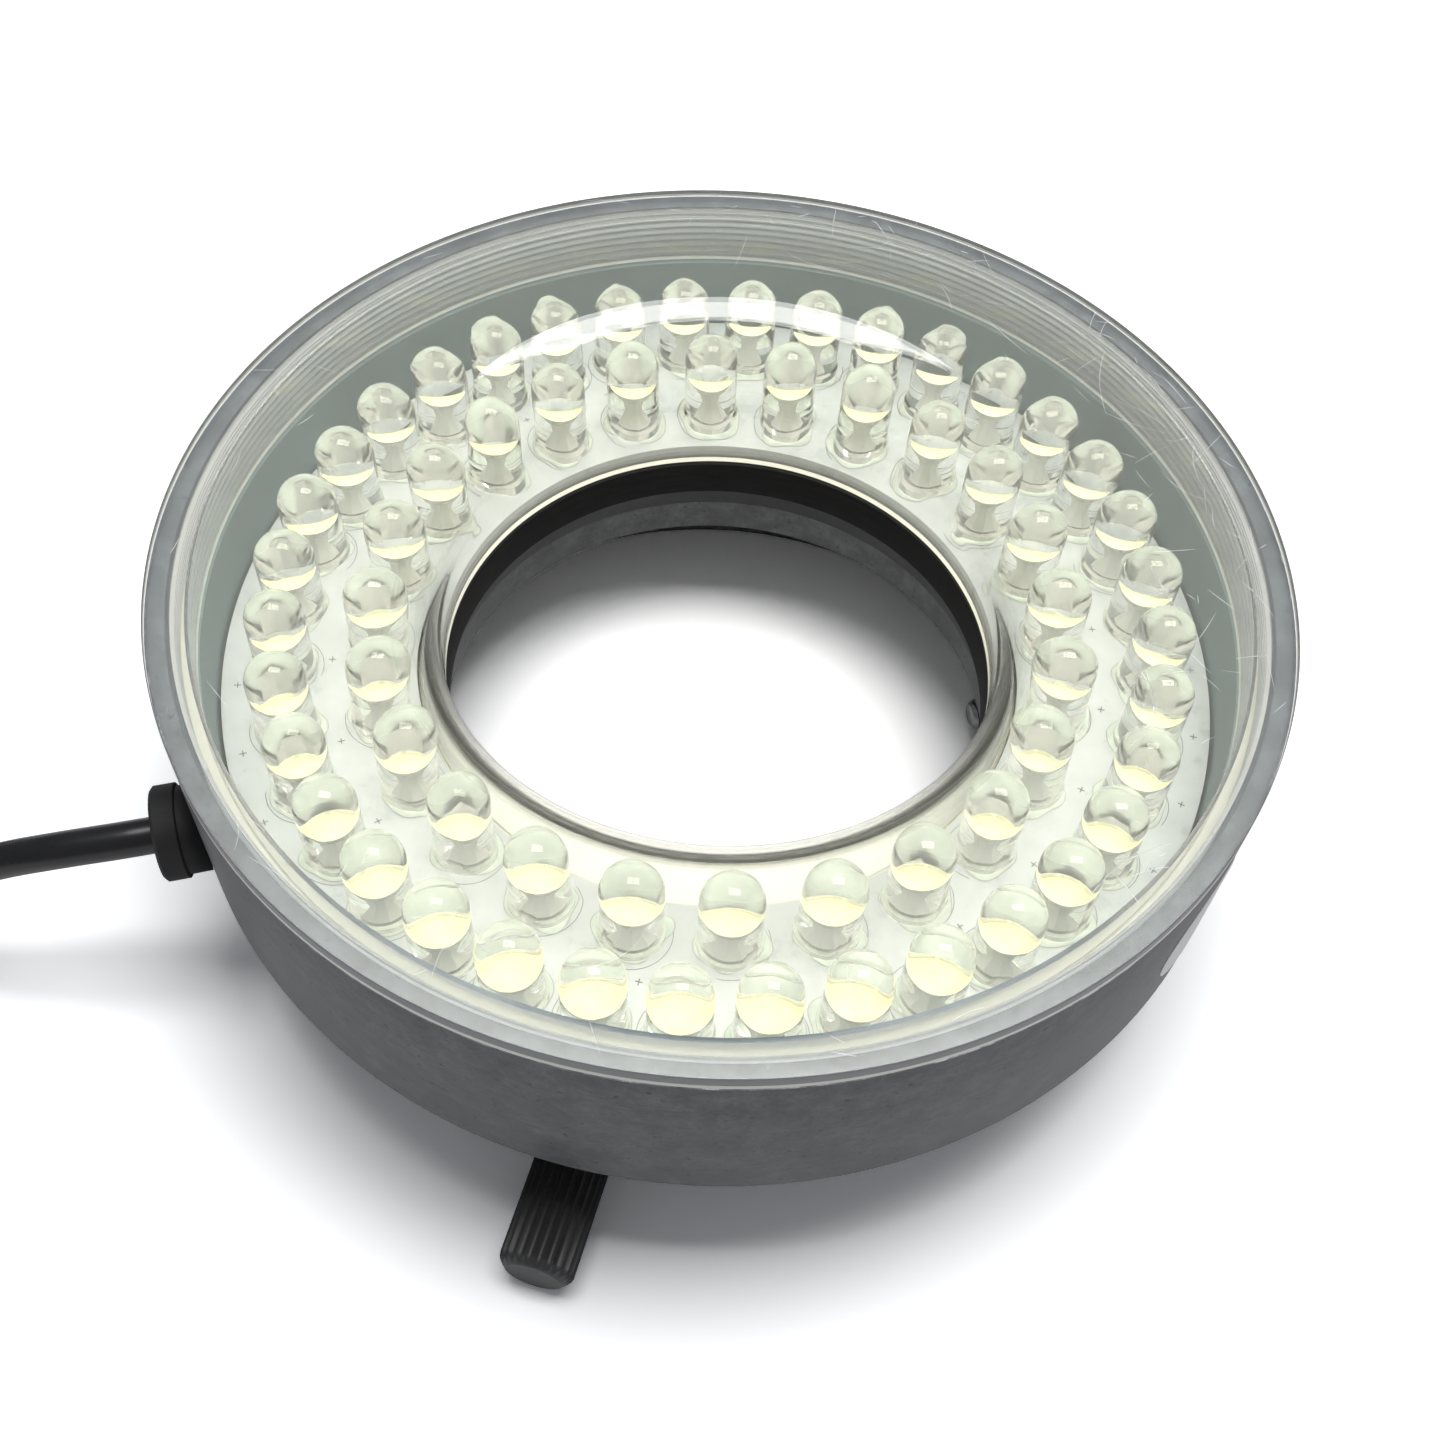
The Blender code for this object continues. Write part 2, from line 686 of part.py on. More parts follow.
def coil_points():
    """The coil's centreline: in, up a layer in the half turn where it reverses, and out."""
    total = round(COIL_TURNS * COIL_POINTS_PER_TURN)
    climb_start = (COIL_TURNS - COIL_CLIMB_TURNS) / 2
    points = []
    for index in range(total + 1):
        turn = index / COIL_POINTS_PER_TURN
        angle = COIL_START_ANGLE - math.tau * turn
        radius = COIL_OUTER_RADIUS - COIL_PITCH * min(turn, COIL_TURNS - turn)
        climbed = min(1, max(0, (turn - climb_start) / COIL_CLIMB_TURNS))
        height = COIL_LOW + (COIL_HIGH - COIL_LOW) * climbed
        points.append(Vector((*COIL_CENTRE, 0)) + radial_point(angle, radius, height))
    return points


def coil_ends(points):
    """Where the coil's straight ends stop, and which way they point."""
    first_angle = COIL_START_ANGLE
    last_angle = COIL_START_ANGLE - math.tau * COIL_TURNS
    start_way = Vector((-math.sin(first_angle), math.cos(first_angle), 0))
    end_way = Vector((math.sin(last_angle), -math.cos(last_angle), 0))
    start = points[0] + start_way * 2 * CORD_RADIUS
    end = points[-1] + end_way * COIL_PLUG_LEAD
    return start, end, start_way, end_way


def least_gap(points):
    """The least clear distance between turns that aren't neighbours along the tube."""
    apart = COIL_POINTS_PER_TURN // 2
    least = None
    for index, point in enumerate(points[:-1]):
        for other in range(index + apart, len(points) - 1):
            start = points[other]
            run = points[other + 1] - start
            share = min(1, max(0, (point - start).dot(run) / run.length_squared))
            gap = (point - start - run * share).length - 2 * CORD_RADIUS
            least = gap if least is None else min(least, gap)
    return least


def power_cord():
    """The free stretch and the coil, which meet end to end."""
    finish = black_vinyl()
    turns = coil_points()
    start, end, start_way, end_way = coil_ends(turns)
    whole = [start, *turns, end]
    tube_object("cord_coil", whole, CORD_RADIUS, 1, finish)
    gap = least_gap(whole)
    print(f"coil: {route_length(whole):.3f} m long, least gap {gap:.5f} m")
    assert gap > COIL_LEAST_GAP, "the coil's turns are too close"
    first = gland_point(GLAND_HEAD_REACH + FIT_GAP)
    last = start + start_way * FIT_GAP
    straight = last + start_way * 2 * CORD_RADIUS
    route = smooth_route([first, *CORD_ROUTE, straight, last], CORD_SPACING)
    tube_object("power_cord", route, CORD_RADIUS, 2, finish)
    print(f"free stretch: {route_length(route):.3f} m long")
    return end, end_way


def rounded_frame(shape, half_width, half_height, corner, depth):
    """One outline of a rounded rectangle in the XZ plane, at a depth along Y."""
    points = []
    signs = [(1, 1), (-1, 1), (-1, -1), (1, -1)]
    for quarter, (x_sign, z_sign) in enumerate(signs):
        centre = (x_sign * (half_width - corner), z_sign * (half_height - corner))
        start = quarter * math.pi / 2
        points += arc(centre, corner, start, start + math.pi / 2, TIE_CORNER_STEPS)
    return [shape.verts.new((x, depth, z)) for x, z in points]


def coil_tie():
    """A strap looped once round the bundle of turns."""
    inner_radius = COIL_OUTER_RADIUS - COIL_PITCH * COIL_TURNS / 2 - CORD_RADIUS
    outer_radius = COIL_OUTER_RADIUS + CORD_RADIUS
    half_width = (outer_radius - inner_radius) / 2 + TIE_SIDE_GAP
    half_height = (COIL_HIGH - COIL_LOW) / 2 + CORD_RADIUS + FIT_GAP
    outer_corner = TIE_CORNER_RADIUS + TIE_THICKNESS
    outer = (half_width + TIE_THICKNESS, half_height + TIE_THICKNESS, outer_corner)
    inner = (half_width, half_height, TIE_CORNER_RADIUS)
    shape = bmesh.new()
    rings = [
        rounded_frame(shape, *outer, -TIE_WIDTH / 2),
        rounded_frame(shape, *outer, TIE_WIDTH / 2),
        rounded_frame(shape, *inner, TIE_WIDTH / 2),
        rounded_frame(shape, *inner, -TIE_WIDTH / 2),
    ]
    for lower, upper in zip(rings, rings[1:] + rings[:1]):
        bridge_rings(shape, lower, upper)
    tie = mesh_object("coil_tie", shape, black_vinyl())
    middle_radius = (inner_radius + outer_radius) / 2
    middle_height = (COIL_LOW + COIL_HIGH) / 2
    middle = Vector((*COIL_CENTRE, 0)) + radial_point(TIE_ANGLE, middle_radius, middle_height)
    tie.matrix_world = Matrix.Translation(middle) @ Matrix.Rotation(TIE_ANGLE, 4, "Z")


def plug(end, way):
    """The moulded power plug with its metal barrel and the insulator inside it."""
    heading = math.atan2(way.y, way.x)
    grip_end = PLUG_RELIEF_LENGTH + PLUG_GRIP_LENGTH
    profile = [
        (0, 0),
        (PLUG_NECK_RADIUS, 0),
        (PLUG_RELIEF_RADIUS, PLUG_RELIEF_LENGTH),
        (PLUG_RADIUS, PLUG_RELIEF_LENGTH + PLUG_SHOULDER_LENGTH),
        (PLUG_RADIUS, grip_end - PLUG_NOSE_BEVEL),
        (PLUG_RADIUS - PLUG_NOSE_BEVEL, grip_end),
        (0, grip_end),
    ]
    grip = turned_rod("plug_grip", profile, SMALL_SEGMENTS, black_vinyl())
    foot = end + way * FIT_GAP
    place_along(grip, foot, heading)
    barrel_inner_radius = BARREL_RADIUS - BARREL_WALL
    barrel_profile = [
        (BARREL_RADIUS, 0),
        (BARREL_RADIUS, BARREL_LENGTH - BARREL_BEVEL),
        (BARREL_RADIUS - BARREL_BEVEL, BARREL_LENGTH),
        (barrel_inner_radius, BARREL_LENGTH),
        (barrel_inner_radius, 0),
    ]
    insulator_profile = [
        (INSULATOR_RADIUS, 0),
        (INSULATOR_RADIUS, BARREL_LENGTH - BARREL_BEVEL),
        (INSULATOR_BORE_RADIUS, BARREL_LENGTH - BARREL_BEVEL),
        (INSULATOR_BORE_RADIUS, 0),
    ]
    face = foot + way * (grip_end + FIT_GAP)
    barrel = turned_ring("plug_barrel", barrel_profile, SMALL_SEGMENTS, nickel_plate())
    place_along(barrel, face, heading)
    insulator = turned_ring("plug_insulator", insulator_profile, SMALL_SEGMENTS, white_nylon())
    place_along(insulator, face, heading)


def main():
    clear_scene()
    housing()
    bore_sleeve()
    clear_cover()
    led_board()
    string_resistors()
    lead_wires()
    thumbscrews()
    cable_gland()
    end, way = power_cord()
    coil_tie()
    plug(end, way)


main()
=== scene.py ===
import math
import random

import bmesh
import bpy
from mathutils import Matrix, Vector


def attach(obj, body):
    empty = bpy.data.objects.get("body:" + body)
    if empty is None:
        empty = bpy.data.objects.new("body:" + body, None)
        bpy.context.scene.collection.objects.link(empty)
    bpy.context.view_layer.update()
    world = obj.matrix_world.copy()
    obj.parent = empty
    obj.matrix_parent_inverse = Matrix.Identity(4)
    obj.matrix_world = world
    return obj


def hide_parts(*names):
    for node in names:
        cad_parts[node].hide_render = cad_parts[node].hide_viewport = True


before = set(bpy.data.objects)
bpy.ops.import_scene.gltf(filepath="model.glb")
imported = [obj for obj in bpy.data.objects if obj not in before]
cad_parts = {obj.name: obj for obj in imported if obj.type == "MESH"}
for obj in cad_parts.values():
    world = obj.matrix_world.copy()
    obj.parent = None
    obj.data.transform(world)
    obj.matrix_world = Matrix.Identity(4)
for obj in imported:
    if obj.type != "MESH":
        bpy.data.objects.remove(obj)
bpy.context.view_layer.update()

MM = 0.001
ROOT = "ring_light"
CLEAR_TOP = 33.89
SHARP_EDGE = 32
chance = random.Random(41)


# ---------------------------------------------------------------- camera

def add_camera():
    """The photograph's pinhole camera, solved from the ring's ellipses."""
    data = bpy.data.cameras.new("camera")
    data.sensor_fit = "HORIZONTAL"
    data.sensor_width = 36
    data.lens = 41.483
    data.shift_x = 0.01255
    data.shift_y = 0.00504
    data.clip_start = 0.01
    data.clip_end = 20
    yaw, pitch, roll = (math.radians(angle) for angle in (-0.5418, 54.594, 3.1146))
    forward = Vector((math.sin(yaw), math.cos(yaw), 0))
    ahead = math.cos(pitch) * forward - math.sin(pitch) * Vector((0, 0, 1))
    level = Vector((math.cos(yaw), -math.sin(yaw), 0))
    upright = level.cross(ahead)
    right = math.cos(roll) * level + math.sin(roll) * upright
    up = math.cos(roll) * upright - math.sin(roll) * level
    place = Matrix((right, up, -ahead)).transposed().to_4x4()
    place.translation = (0, -0.088136, 0.13281)
    camera = bpy.data.objects.new("camera", data)
    camera.matrix_world = place
    bpy.context.scene.collection.objects.link(camera)
    bpy.context.scene.camera = camera


# ---------------------------------------------------------------- cord, as in the part's source

GLAND_ANGLE = math.radians(-154.7)
GLAND_HEADING = math.radians(-163.5)
GLAND_HEIGHT = 18.1
OUTER_RADIUS = 45.0
CORD_RADIUS = 1.5
CORD_ROUTE = [
    (-46.9, -21.0, 18.05),
    (-51.9, -21.9, 17.40),
    (-56.7, -22.2, 15.75),
    (-63.0, -22.5, 12.70),
    (-70.0, -23.0, 8.70),
    (-77.0, -23.6, 5.20),
    (-84.0, -24.1, 3.00),
    (-91.0, -24.4, 2.32),
]
COIL_CENTRE = (-102.0, 1.6)
COIL_OUTER_RADIUS = 26.0
COIL_TURNS = 9.25
COIL_PITCH = 3.5
COIL_CLIMB_TURNS = 0.5
COIL_START_ANGLE = math.radians(-90)
COIL_PLUG_LEAD = 9.0
TIE_ANGLE = math.radians(45)
COIL_LOW = 2.32
COIL_HIGH = 5.82
POINTS_PER_TURN = 48


def polar(angle, radius, height):
    return Vector((radius * math.cos(angle), radius * math.sin(angle), height))


def gland_point(along):
    """A point on the bush's axis, counted outward from the housing's wall."""
    root = polar(GLAND_ANGLE, OUTER_RADIUS, GLAND_HEIGHT)
    return root + along * Vector((math.cos(GLAND_HEADING), math.sin(GLAND_HEADING), 0))


def curve_point(before, start, end, after, t):
    """A point on the Catmull-Rom curve from start to end."""
    return (
        2 * start
        + (end - before) * t
        + (2 * before - 5 * start + 4 * end - after) * t**2
        + (3 * start - before - 3 * end + after) * t**3
    ) / 2


def smooth_line(route, steps):
    knots = [Vector(point) for point in route]
    knots = [2 * knots[0] - knots[1], *knots, 2 * knots[-1] - knots[-2]]
    line = []
    for stretch in zip(knots, knots[1:], knots[2:], knots[3:]):
        line += [curve_point(*stretch, index / steps) for index in range(steps)]
    return line + [knots[-2]]


def coil_line():
    """The coil's centreline: a spiral inward, a climb, and a spiral outward on top."""
    total = round(COIL_TURNS * POINTS_PER_TURN)
    climb_start = (COIL_TURNS - COIL_CLIMB_TURNS) / 2
    points = []
    for index in range(total + 1):
        turn = index / POINTS_PER_TURN
        radius = COIL_OUTER_RADIUS - COIL_PITCH * min(turn, COIL_TURNS - turn)
        climbed = min(1, max(0, (turn - climb_start) / COIL_CLIMB_TURNS))
        height = COIL_LOW + (COIL_HIGH - COIL_LOW) * climbed
        spot = polar(COIL_START_ANGLE - math.tau * turn, radius, height)
        points.append(Vector((*COIL_CENTRE, 0)) + spot)
    return points


def cord_line():
    """The centreline from inside the bush's mouth to the plug, its end and the plug's direction."""
    turns = coil_line()
    first_angle = COIL_START_ANGLE
    last_angle = COIL_START_ANGLE - math.tau * COIL_TURNS
    start_way = Vector((-math.sin(first_angle), math.cos(first_angle), 0))
    end_way = Vector((math.sin(last_angle), -math.cos(last_angle), 0))
    start = turns[0] + start_way * 2 * CORD_RADIUS
    last = start + start_way * 0.3
    straight = last + start_way * 2 * CORD_RADIUS
    stretch = smooth_line([gland_point(3.5), *CORD_ROUTE, straight, last], 5)
    end = turns[-1] + end_way * COIL_PLUG_LEAD
    return [gland_point(2.4), *stretch, start, *turns, end], end, end_way


# ---------------------------------------------------------------- mesh helpers, in millimetres

def link_object(name, data):
    made = bpy.data.objects.new(name, data)
    bpy.context.scene.collection.objects.link(made)
    return made


def finish_mesh(name, shape, materials, sharp=SHARP_EDGE):
    """Turn a bmesh in millimetres into an object in metres."""
    bmesh.ops.remove_doubles(shape, verts=shape.verts, dist=1e-5)
    bmesh.ops.recalc_face_normals(shape, faces=shape.faces)
    bmesh.ops.scale(shape, vec=(MM, MM, MM), verts=shape.verts)
    data = bpy.data.meshes.new(name)
    shape.to_mesh(data)
    shape.free()
    data.shade_smooth()
    data.set_sharp_from_angle(angle=math.radians(sharp))
    for finish in materials:
        data.materials.append(finish)
    return link_object(name, data)


def arc(centre, radius, start, end, steps):
    """Points along an arc, from start to end in degrees."""
    points = []
    for index in range(steps + 1):
        angle = math.radians(start + (end - start) * index / steps)
        points.append((centre[0] + radius * math.cos(angle), centre[1] + radius * math.sin(angle)))
    return points


def softened(outline, reach, closed=True):
    """Round the corners of an outline, cutting back by reach along each side."""
    steps = 2
    longest_cut = 0.45
    count = len(outline)
    result = []
    for index, point in enumerate(outline):
        if not closed and index in (0, count - 1):
            result.append(point)
            continue
        corner = Vector(point)
        before = Vector(outline[index - 1]) - corner
        after = Vector(outline[(index + 1) % count]) - corner
        if before.length < 1e-6 or after.length < 1e-6:
            continue
        cut = min(reach, before.length * longest_cut, after.length * longest_cut)
        first = corner + before.normalized() * cut
        second = corner + after.normalized() * cut
        for step in range(steps + 1):
            t = step / steps
            spot = first * (1 - t) ** 2 + corner * 2 * t * (1 - t) + second * t**2
            result.append((spot.x, spot.y))
    return result


def turn(shape, outline, segments, closed=True, slot=0):
    """Turn an outline of (radius, height) about Z.

    slot is a material's number, or a function of the middle of a side that gives it.
    """
    angles = [math.tau * index / segments for index in range(segments)]
    rings = []
    for radius, height in outline:
        if radius < 1e-4:
            rings.append([shape.verts.new((0, 0, height))])
        else:
            rings.append([shape.verts.new(polar(angle, radius, height)) for angle in angles])
    pairs = list(zip(range(len(rings)), range(1, len(rings))))
    if closed:
        pairs.append((len(rings) - 1, 0))
    for low, high in pairs:
        lower, upper = rings[low], rings[high]
        if len(lower) == 1 and len(upper) == 1:
            continue
        middle = (
            (outline[low][0] + outline[high][0]) / 2,
            (outline[low][1] + outline[high][1]) / 2,
        )
        number = slot(*middle) if callable(slot) else slot
        for index in range(segments):
            following = (index + 1) % segments
            if len(lower) == 1:
                corners = (lower[0], upper[following], upper[index])
            elif len(upper) == 1:
                corners = (lower[index], lower[following], upper[0])
            else:
                corners = (lower[index], lower[following], upper[following], upper[index])
            shape.faces.new(corners).material_index = number


def join_rings(shape, lower, upper):
    """A wall of four-sided faces between two rings with the same number of points."""
    for index in range(len(lower)):
        following = (index + 1) % len(lower)
        shape.faces.new((lower[index], lower[following], upper[following], upper[index]))


def laid_along(position, heading):
    """Stand an upright piece on a point and lay it level, its top along a heading."""
    turned = Matrix.Rotation(heading, 4, "Z") @ Matrix.Rotation(math.pi / 2, 4, "Y")
    return Matrix.Translation(Vector(position)) @ turned


def cut_away(piece, cutter):
    """Take a cutter's form out of a piece, and drop the cutter."""
    step = piece.modifiers.new("cut", "BOOLEAN")
    step.operation = "DIFFERENCE"
    step.solver = "EXACT"
    step.object = cutter
    bpy.context.view_layer.update()
    graph = bpy.context.evaluated_depsgraph_get()
    cut = bpy.data.meshes.new_from_object(piece.evaluated_get(graph))
    piece.modifiers.clear()
    old = piece.data
    piece.data = cut
    bpy.data.meshes.remove(old)
    bpy.data.objects.remove(cutter, do_unlink=True)


def drill(piece, radius, length, position, heading):
    """Cut a round hole from a point along a heading."""
    shape = bmesh.new()
    turn(shape, [(0, 0), (radius, 0), (radius, length), (0, length)], 32, closed=False)
    bmesh.ops.transform(shape, matrix=laid_along(position, heading), verts=shape.verts)
    cut_away(piece, finish_mesh("cutter", shape, []))


def settle(piece, place):
    """Move a piece's own mesh by a placing in millimetres; its object stays at the origin."""
    moved = place.copy()
    moved.translation = place.translation * MM
    piece.data.transform(moved)


def on_body(piece, body, slot_name, *nodes):
    """Let a piece ride a body, in place of nodes if any are named; slot_name is not used."""
    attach(piece, body)
    if nodes:
        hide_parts(*nodes)
    return piece


# ---------------------------------------------------------------- materials

def start_material(name, colour, roughness, **values):
    """A material with its tree and its shader, whose inputs take the values."""
    made = bpy.data.materials.new(name)
    made.use_nodes = True
    tree = made.node_tree
    shader = tree.nodes["Principled BSDF"]
    shader.inputs["Base Color"].default_value = (*colour, 1)
    shader.inputs["Roughness"].default_value = roughness
    for key, value in values.items():
        shader.inputs[key.replace("_", " ")].default_value = value
    return made, tree, shader


def node(tree, kind, inputs=None, **settings):
    """Add a node, its inputs linked to sockets or set to values."""
    made = tree.nodes.new(kind)
    for key, value in settings.items():
        setattr(made, key, value)
    for key, value in (inputs or {}).items():
        socket = made.inputs[key]
        if isinstance(value, bpy.types.NodeSocket):
            tree.links.new(value, socket)
        else:
            socket.default_value = value
    return made


def object_place(tree, stretch=(1, 1, 1)):
    """The place on the object's own axes, stretched for streaks."""
    where = node(tree, "ShaderNodeTexCoord").outputs["Object"]
    return node(tree, "ShaderNodeMapping", {"Vector": where, "Scale": stretch}).outputs[0]


def noise(tree, where, scale, detail=4, roughness=0.6):
    made = node(
        tree,
        "ShaderNodeTexNoise",
        {"Vector": where, "Scale": scale, "Detail": detail, "Roughness": roughness},
    )
    return made.outputs["Fac"]


def ramp(tree, factor, stops):
    made = node(tree, "ShaderNodeValToRGB", {"Fac": factor})
    ends = made.color_ramp.elements
    while len(ends) < len(stops):
        ends.new(0.5)
    for stop, (place, colour) in zip(ends, stops):
        stop.position = place
        stop.color = (*colour, 1)
    return made.outputs["Color"]


def spread(tree, factor, low, high, from_low=0.3, from_high=0.7):
    """Map a noise's useful range onto low to high."""
    inputs = {
        "Value": factor,
        "From Min": from_low,
        "From Max": from_high,
        "To Min": low,
        "To Max": high,
    }
    return node(tree, "ShaderNodeMapRange", inputs).outputs["Result"]


def blend(tree, factor, first, second):
    """Mix a plain second colour into a first one."""
    inputs = {0: factor, 6: first, 7: (*second, 1)}
    return node(tree, "ShaderNodeMix", inputs, data_type="RGBA").outputs[2]


def bump(tree, shader, height, strength, distance):
    inputs = {"Height": height, "Strength": strength, "Distance": distance}
    made = node(tree, "ShaderNodeBump", inputs)
    tree.links.new(made.outputs[0], shader.inputs["Normal"])


def lets_lamps_through(tree, shader, tint):
    """Shadow rays pass a clear piece, so lamps reach what is behind it."""
    path = node(tree, "ShaderNodeLightPath")
    clear = node(tree, "ShaderNodeBsdfTransparent", {"Color": (*tint, 1)})
    mixed = node(
        tree,
        "ShaderNodeMixShader",
        {0: path.outputs["Is Shadow Ray"], 1: shader.outputs[0], 2: clear.outputs[0]},
    )
    tree.links.new(mixed.outputs[0], tree.nodes["Material Output"].inputs["Surface"])


def anodised_finish():
    """Grey anodised aluminium, mottled, specked and scuffed."""
    made, tree, shader = start_material("anodised_grey", (0.1, 0.1, 0.1), 0.45, Metallic=0.35)
    where = object_place(tree)
    cloudy = noise(tree, where, 330, 8, 0.78)
    base = ramp(
        tree,
        cloudy,
        [
            (0.32, (0.055, 0.056, 0.058)),
            (0.50, (0.105, 0.107, 0.111)),
            (0.70, (0.180, 0.183, 0.188)),
        ],
    )
    around = noise(tree, object_place(tree, (260, 260, 1500)), 1, 5, 0.7)
    scuffed = blend(tree, spread(tree, around, 0.0, 0.55, 0.56, 0.74), base, (0.055, 0.057, 0.062))
    specks = noise(tree, where, 1500, 2, 0.5)
    dotted = blend(tree, spread(tree, specks, 0.0, 0.8, 0.66, 0.74), scuffed, (0.035, 0.036, 0.040))
    pale = noise(tree, object_place(tree, (90, 90, 800)), 1, 6, 0.75)
    final = blend(tree, spread(tree, pale, 0.0, 0.45, 0.62, 0.80), dotted, (0.27, 0.275, 0.28))
    tree.links.new(final, shader.inputs["Base Color"])
    tree.links.new(spread(tree, cloudy, 0.38, 0.56), shader.inputs["Roughness"])
    bump(tree, shader, noise(tree, where, 2600, 3, 0.6), 0.25, 0.00008)
    return made


def worn_edge_finish():
    """The housing's bare aluminium edge, rubbed bright."""
    made, tree, shader = start_material("worn_edge", (0.5, 0.5, 0.5), 0.35, Metallic=0.9)
    where = object_place(tree)
    rubbed = noise(tree, where, 420, 6, 0.75)
    colour = ramp(
        tree,
        rubbed,
        [(0.38, (0.09, 0.093, 0.10)), (0.54, (0.24, 0.245, 0.255)), (0.68, (0.72, 0.72, 0.72))],
    )
    tree.links.new(colour, shader.inputs["Base Color"])
    tree.links.new(spread(tree, rubbed, 0.45, 0.25), shader.inputs["Roughness"])
    return made


def sleeve_finish():
    """Matt black with the fine marks of turning."""
    made, tree, shader = start_material(
        "sleeve_black", (0.012, 0.012, 0.013), 0.75, Specular_IOR_Level=0.2
    )
    where = object_place(tree, (300, 300, 3000))
    turned = noise(tree, where, 1, 4, 0.6)
    colour = ramp(tree, turned, [(0.3, (0.006, 0.006, 0.007)), (0.7, (0.022, 0.021, 0.020))])
    tree.links.new(colour, shader.inputs["Base Color"])
    tree.links.new(spread(tree, turned, 0.65, 0.85), shader.inputs["Roughness"])
    return made


def acrylic_finish(name, rough, tint, clear):
    """Aged clear acrylic, a little more yellow at each pass through it."""
    made, tree, shader = start_material(name, tint, rough, IOR=1.49, Transmission_Weight=clear)
    where = object_place(tree)
    haze = noise(tree, where, 900, 5, 0.7)
    tree.links.new(spread(tree, haze, rough, rough + 0.05, 0.55, 0.8), shader.inputs["Roughness"])
    bump(tree, shader, noise(tree, where, 240, 3, 0.5), 0.02, 0.00004)
    lets_lamps_through(tree, shader, tuple(0.5 + 0.48 * value for value in tint))
    return made


def epoxy_finish():
    """The LEDs' clear epoxy, slightly hazy."""
    made, tree, shader = start_material(
        "clear_epoxy", (0.93, 0.935, 0.925), 0.0, IOR=1.52, Transmission_Weight=0.965
    )
    where = object_place(tree)
    cloudy = noise(tree, where, 500, 4, 0.6)
    tree.links.new(spread(tree, cloudy, 0.0, 0.04, 0.45, 0.8), shader.inputs["Roughness"])
    bump(tree, shader, noise(tree, where, 420, 2, 0.5), 0.03, 0.00012)
    lets_lamps_through(tree, shader, (0.97, 0.97, 0.95))
    return made


def phosphor_finish():
    """The pale yellow phosphor that fills an LED's cup."""
    made, tree, shader = start_material("phosphor", (0.88, 0.84, 0.60), 0.6)
    where = object_place(tree)
    grain = noise(tree, where, 2200, 4, 0.6)
    colour = ramp(tree, grain, [(0.3, (0.90, 0.81, 0.40)), (0.7, (0.98, 0.91, 0.53))])
    tree.links.new(colour, shader.inputs["Base Color"])
    return made


def lead_frame_finish():
    """Silver plate, pale under the epoxy: near white and nearly matt, so its brightness is partly
    its own and partly painted reflection.
    """
    made, tree, shader = start_material("lead_frame_painted_reflection", (0.86, 0.86, 0.84), 0.28, Metallic=0.15)
    where = object_place(tree)
    grain = noise(tree, where, 1800, 3, 0.6)
    colour = ramp(tree, grain, [(0.3, (0.78, 0.78, 0.76)), (0.7, (0.92, 0.92, 0.90))])
    tree.links.new(spread(tree, grain, 0.2, 0.4), shader.inputs["Roughness"])
    tree.links.new(colour, shader.inputs["Base Color"])
    return made


def board_finish():
    """White solder mask with stains and specks of dirt."""
    made, tree, shader = start_material("solder_mask", (0.75, 0.8, 0.77), 0.3)
    where = object_place(tree)
    stains = noise(tree, where, 190, 6, 0.7)
    colour = ramp(
        tree,
        stains,
        [(0.28, (0.40, 0.425, 0.47)), (0.48, (0.475, 0.500, 0.55)), (0.72, (0.53, 0.555, 0.605))],
    )
    dirt = noise(tree, where, 1300, 3, 0.5)
    dotted = blend(tree, spread(tree, dirt, 0.0, 0.5, 0.68, 0.76), colour, (0.35, 0.36, 0.34))
    tree.links.new(dotted, shader.inputs["Base Color"])
    tree.links.new(spread(tree, stains, 0.22, 0.42), shader.inputs["Roughness"])
    bump(tree, shader, noise(tree, where, 700, 3, 0.5), 0.15, 0.00005)
    return made


def flux_finish(name, colour, roughness):
    """Dried flux, and other thin pale films and lines."""
    made, tree, shader = start_material(name, colour, roughness)
    where = object_place(tree)
    cloudy = noise(tree, where, 800, 4, 0.6)
    light = tuple(min(1, value * 1.15) for value in colour)
    dark = tuple(value * 0.8 for value in colour)
    tree.links.new(ramp(tree, cloudy, [(0.3, dark), (0.7, light)]), shader.inputs["Base Color"])
    bump(tree, shader, cloudy, 0.3, 0.0001)
    return made


def plastic_finish(name, colour, roughness, grain=1500, depth=0.00006, contrast=0.35):
    """Moulded plastic or rubber with a fine grain and uneven sheen."""
    made, tree, shader = start_material(name, colour, roughness)
    where = object_place(tree)
    fine = noise(tree, where, grain, 4, 0.6)
    broad = noise(tree, where, grain / 12, 5, 0.65)
    light = tuple(min(1, value * (1 + contrast)) for value in colour)
    dark = tuple(value * (1 - contrast) for value in colour)
    tree.links.new(ramp(tree, broad, [(0.3, dark), (0.7, light)]), shader.inputs["Base Color"])
    sheen = spread(tree, broad, roughness * 0.8, min(1, roughness * 1.25))
    tree.links.new(sheen, shader.inputs["Roughness"])
    bump(tree, shader, fine, 0.25, depth)
    return made


def metal_finish(name, colour, roughness):
    """Bare or plated metal with a fine grain."""
    made, tree, shader = start_material(name, colour, roughness, Metallic=1.0)
    where = object_place(tree)
    grain = noise(tree, where, 1200, 4, 0.6)
    light = tuple(min(1, value * 1.12) for value in colour)
    dark = tuple(value * 0.75 for value in colour)
    tree.links.new(ramp(tree, grain, [(0.3, dark), (0.7, light)]), shader.inputs["Base Color"])
    sheen = spread(tree, grain, roughness * 0.7, roughness * 1.4)
    tree.links.new(sheen, shader.inputs["Roughness"])
    return made


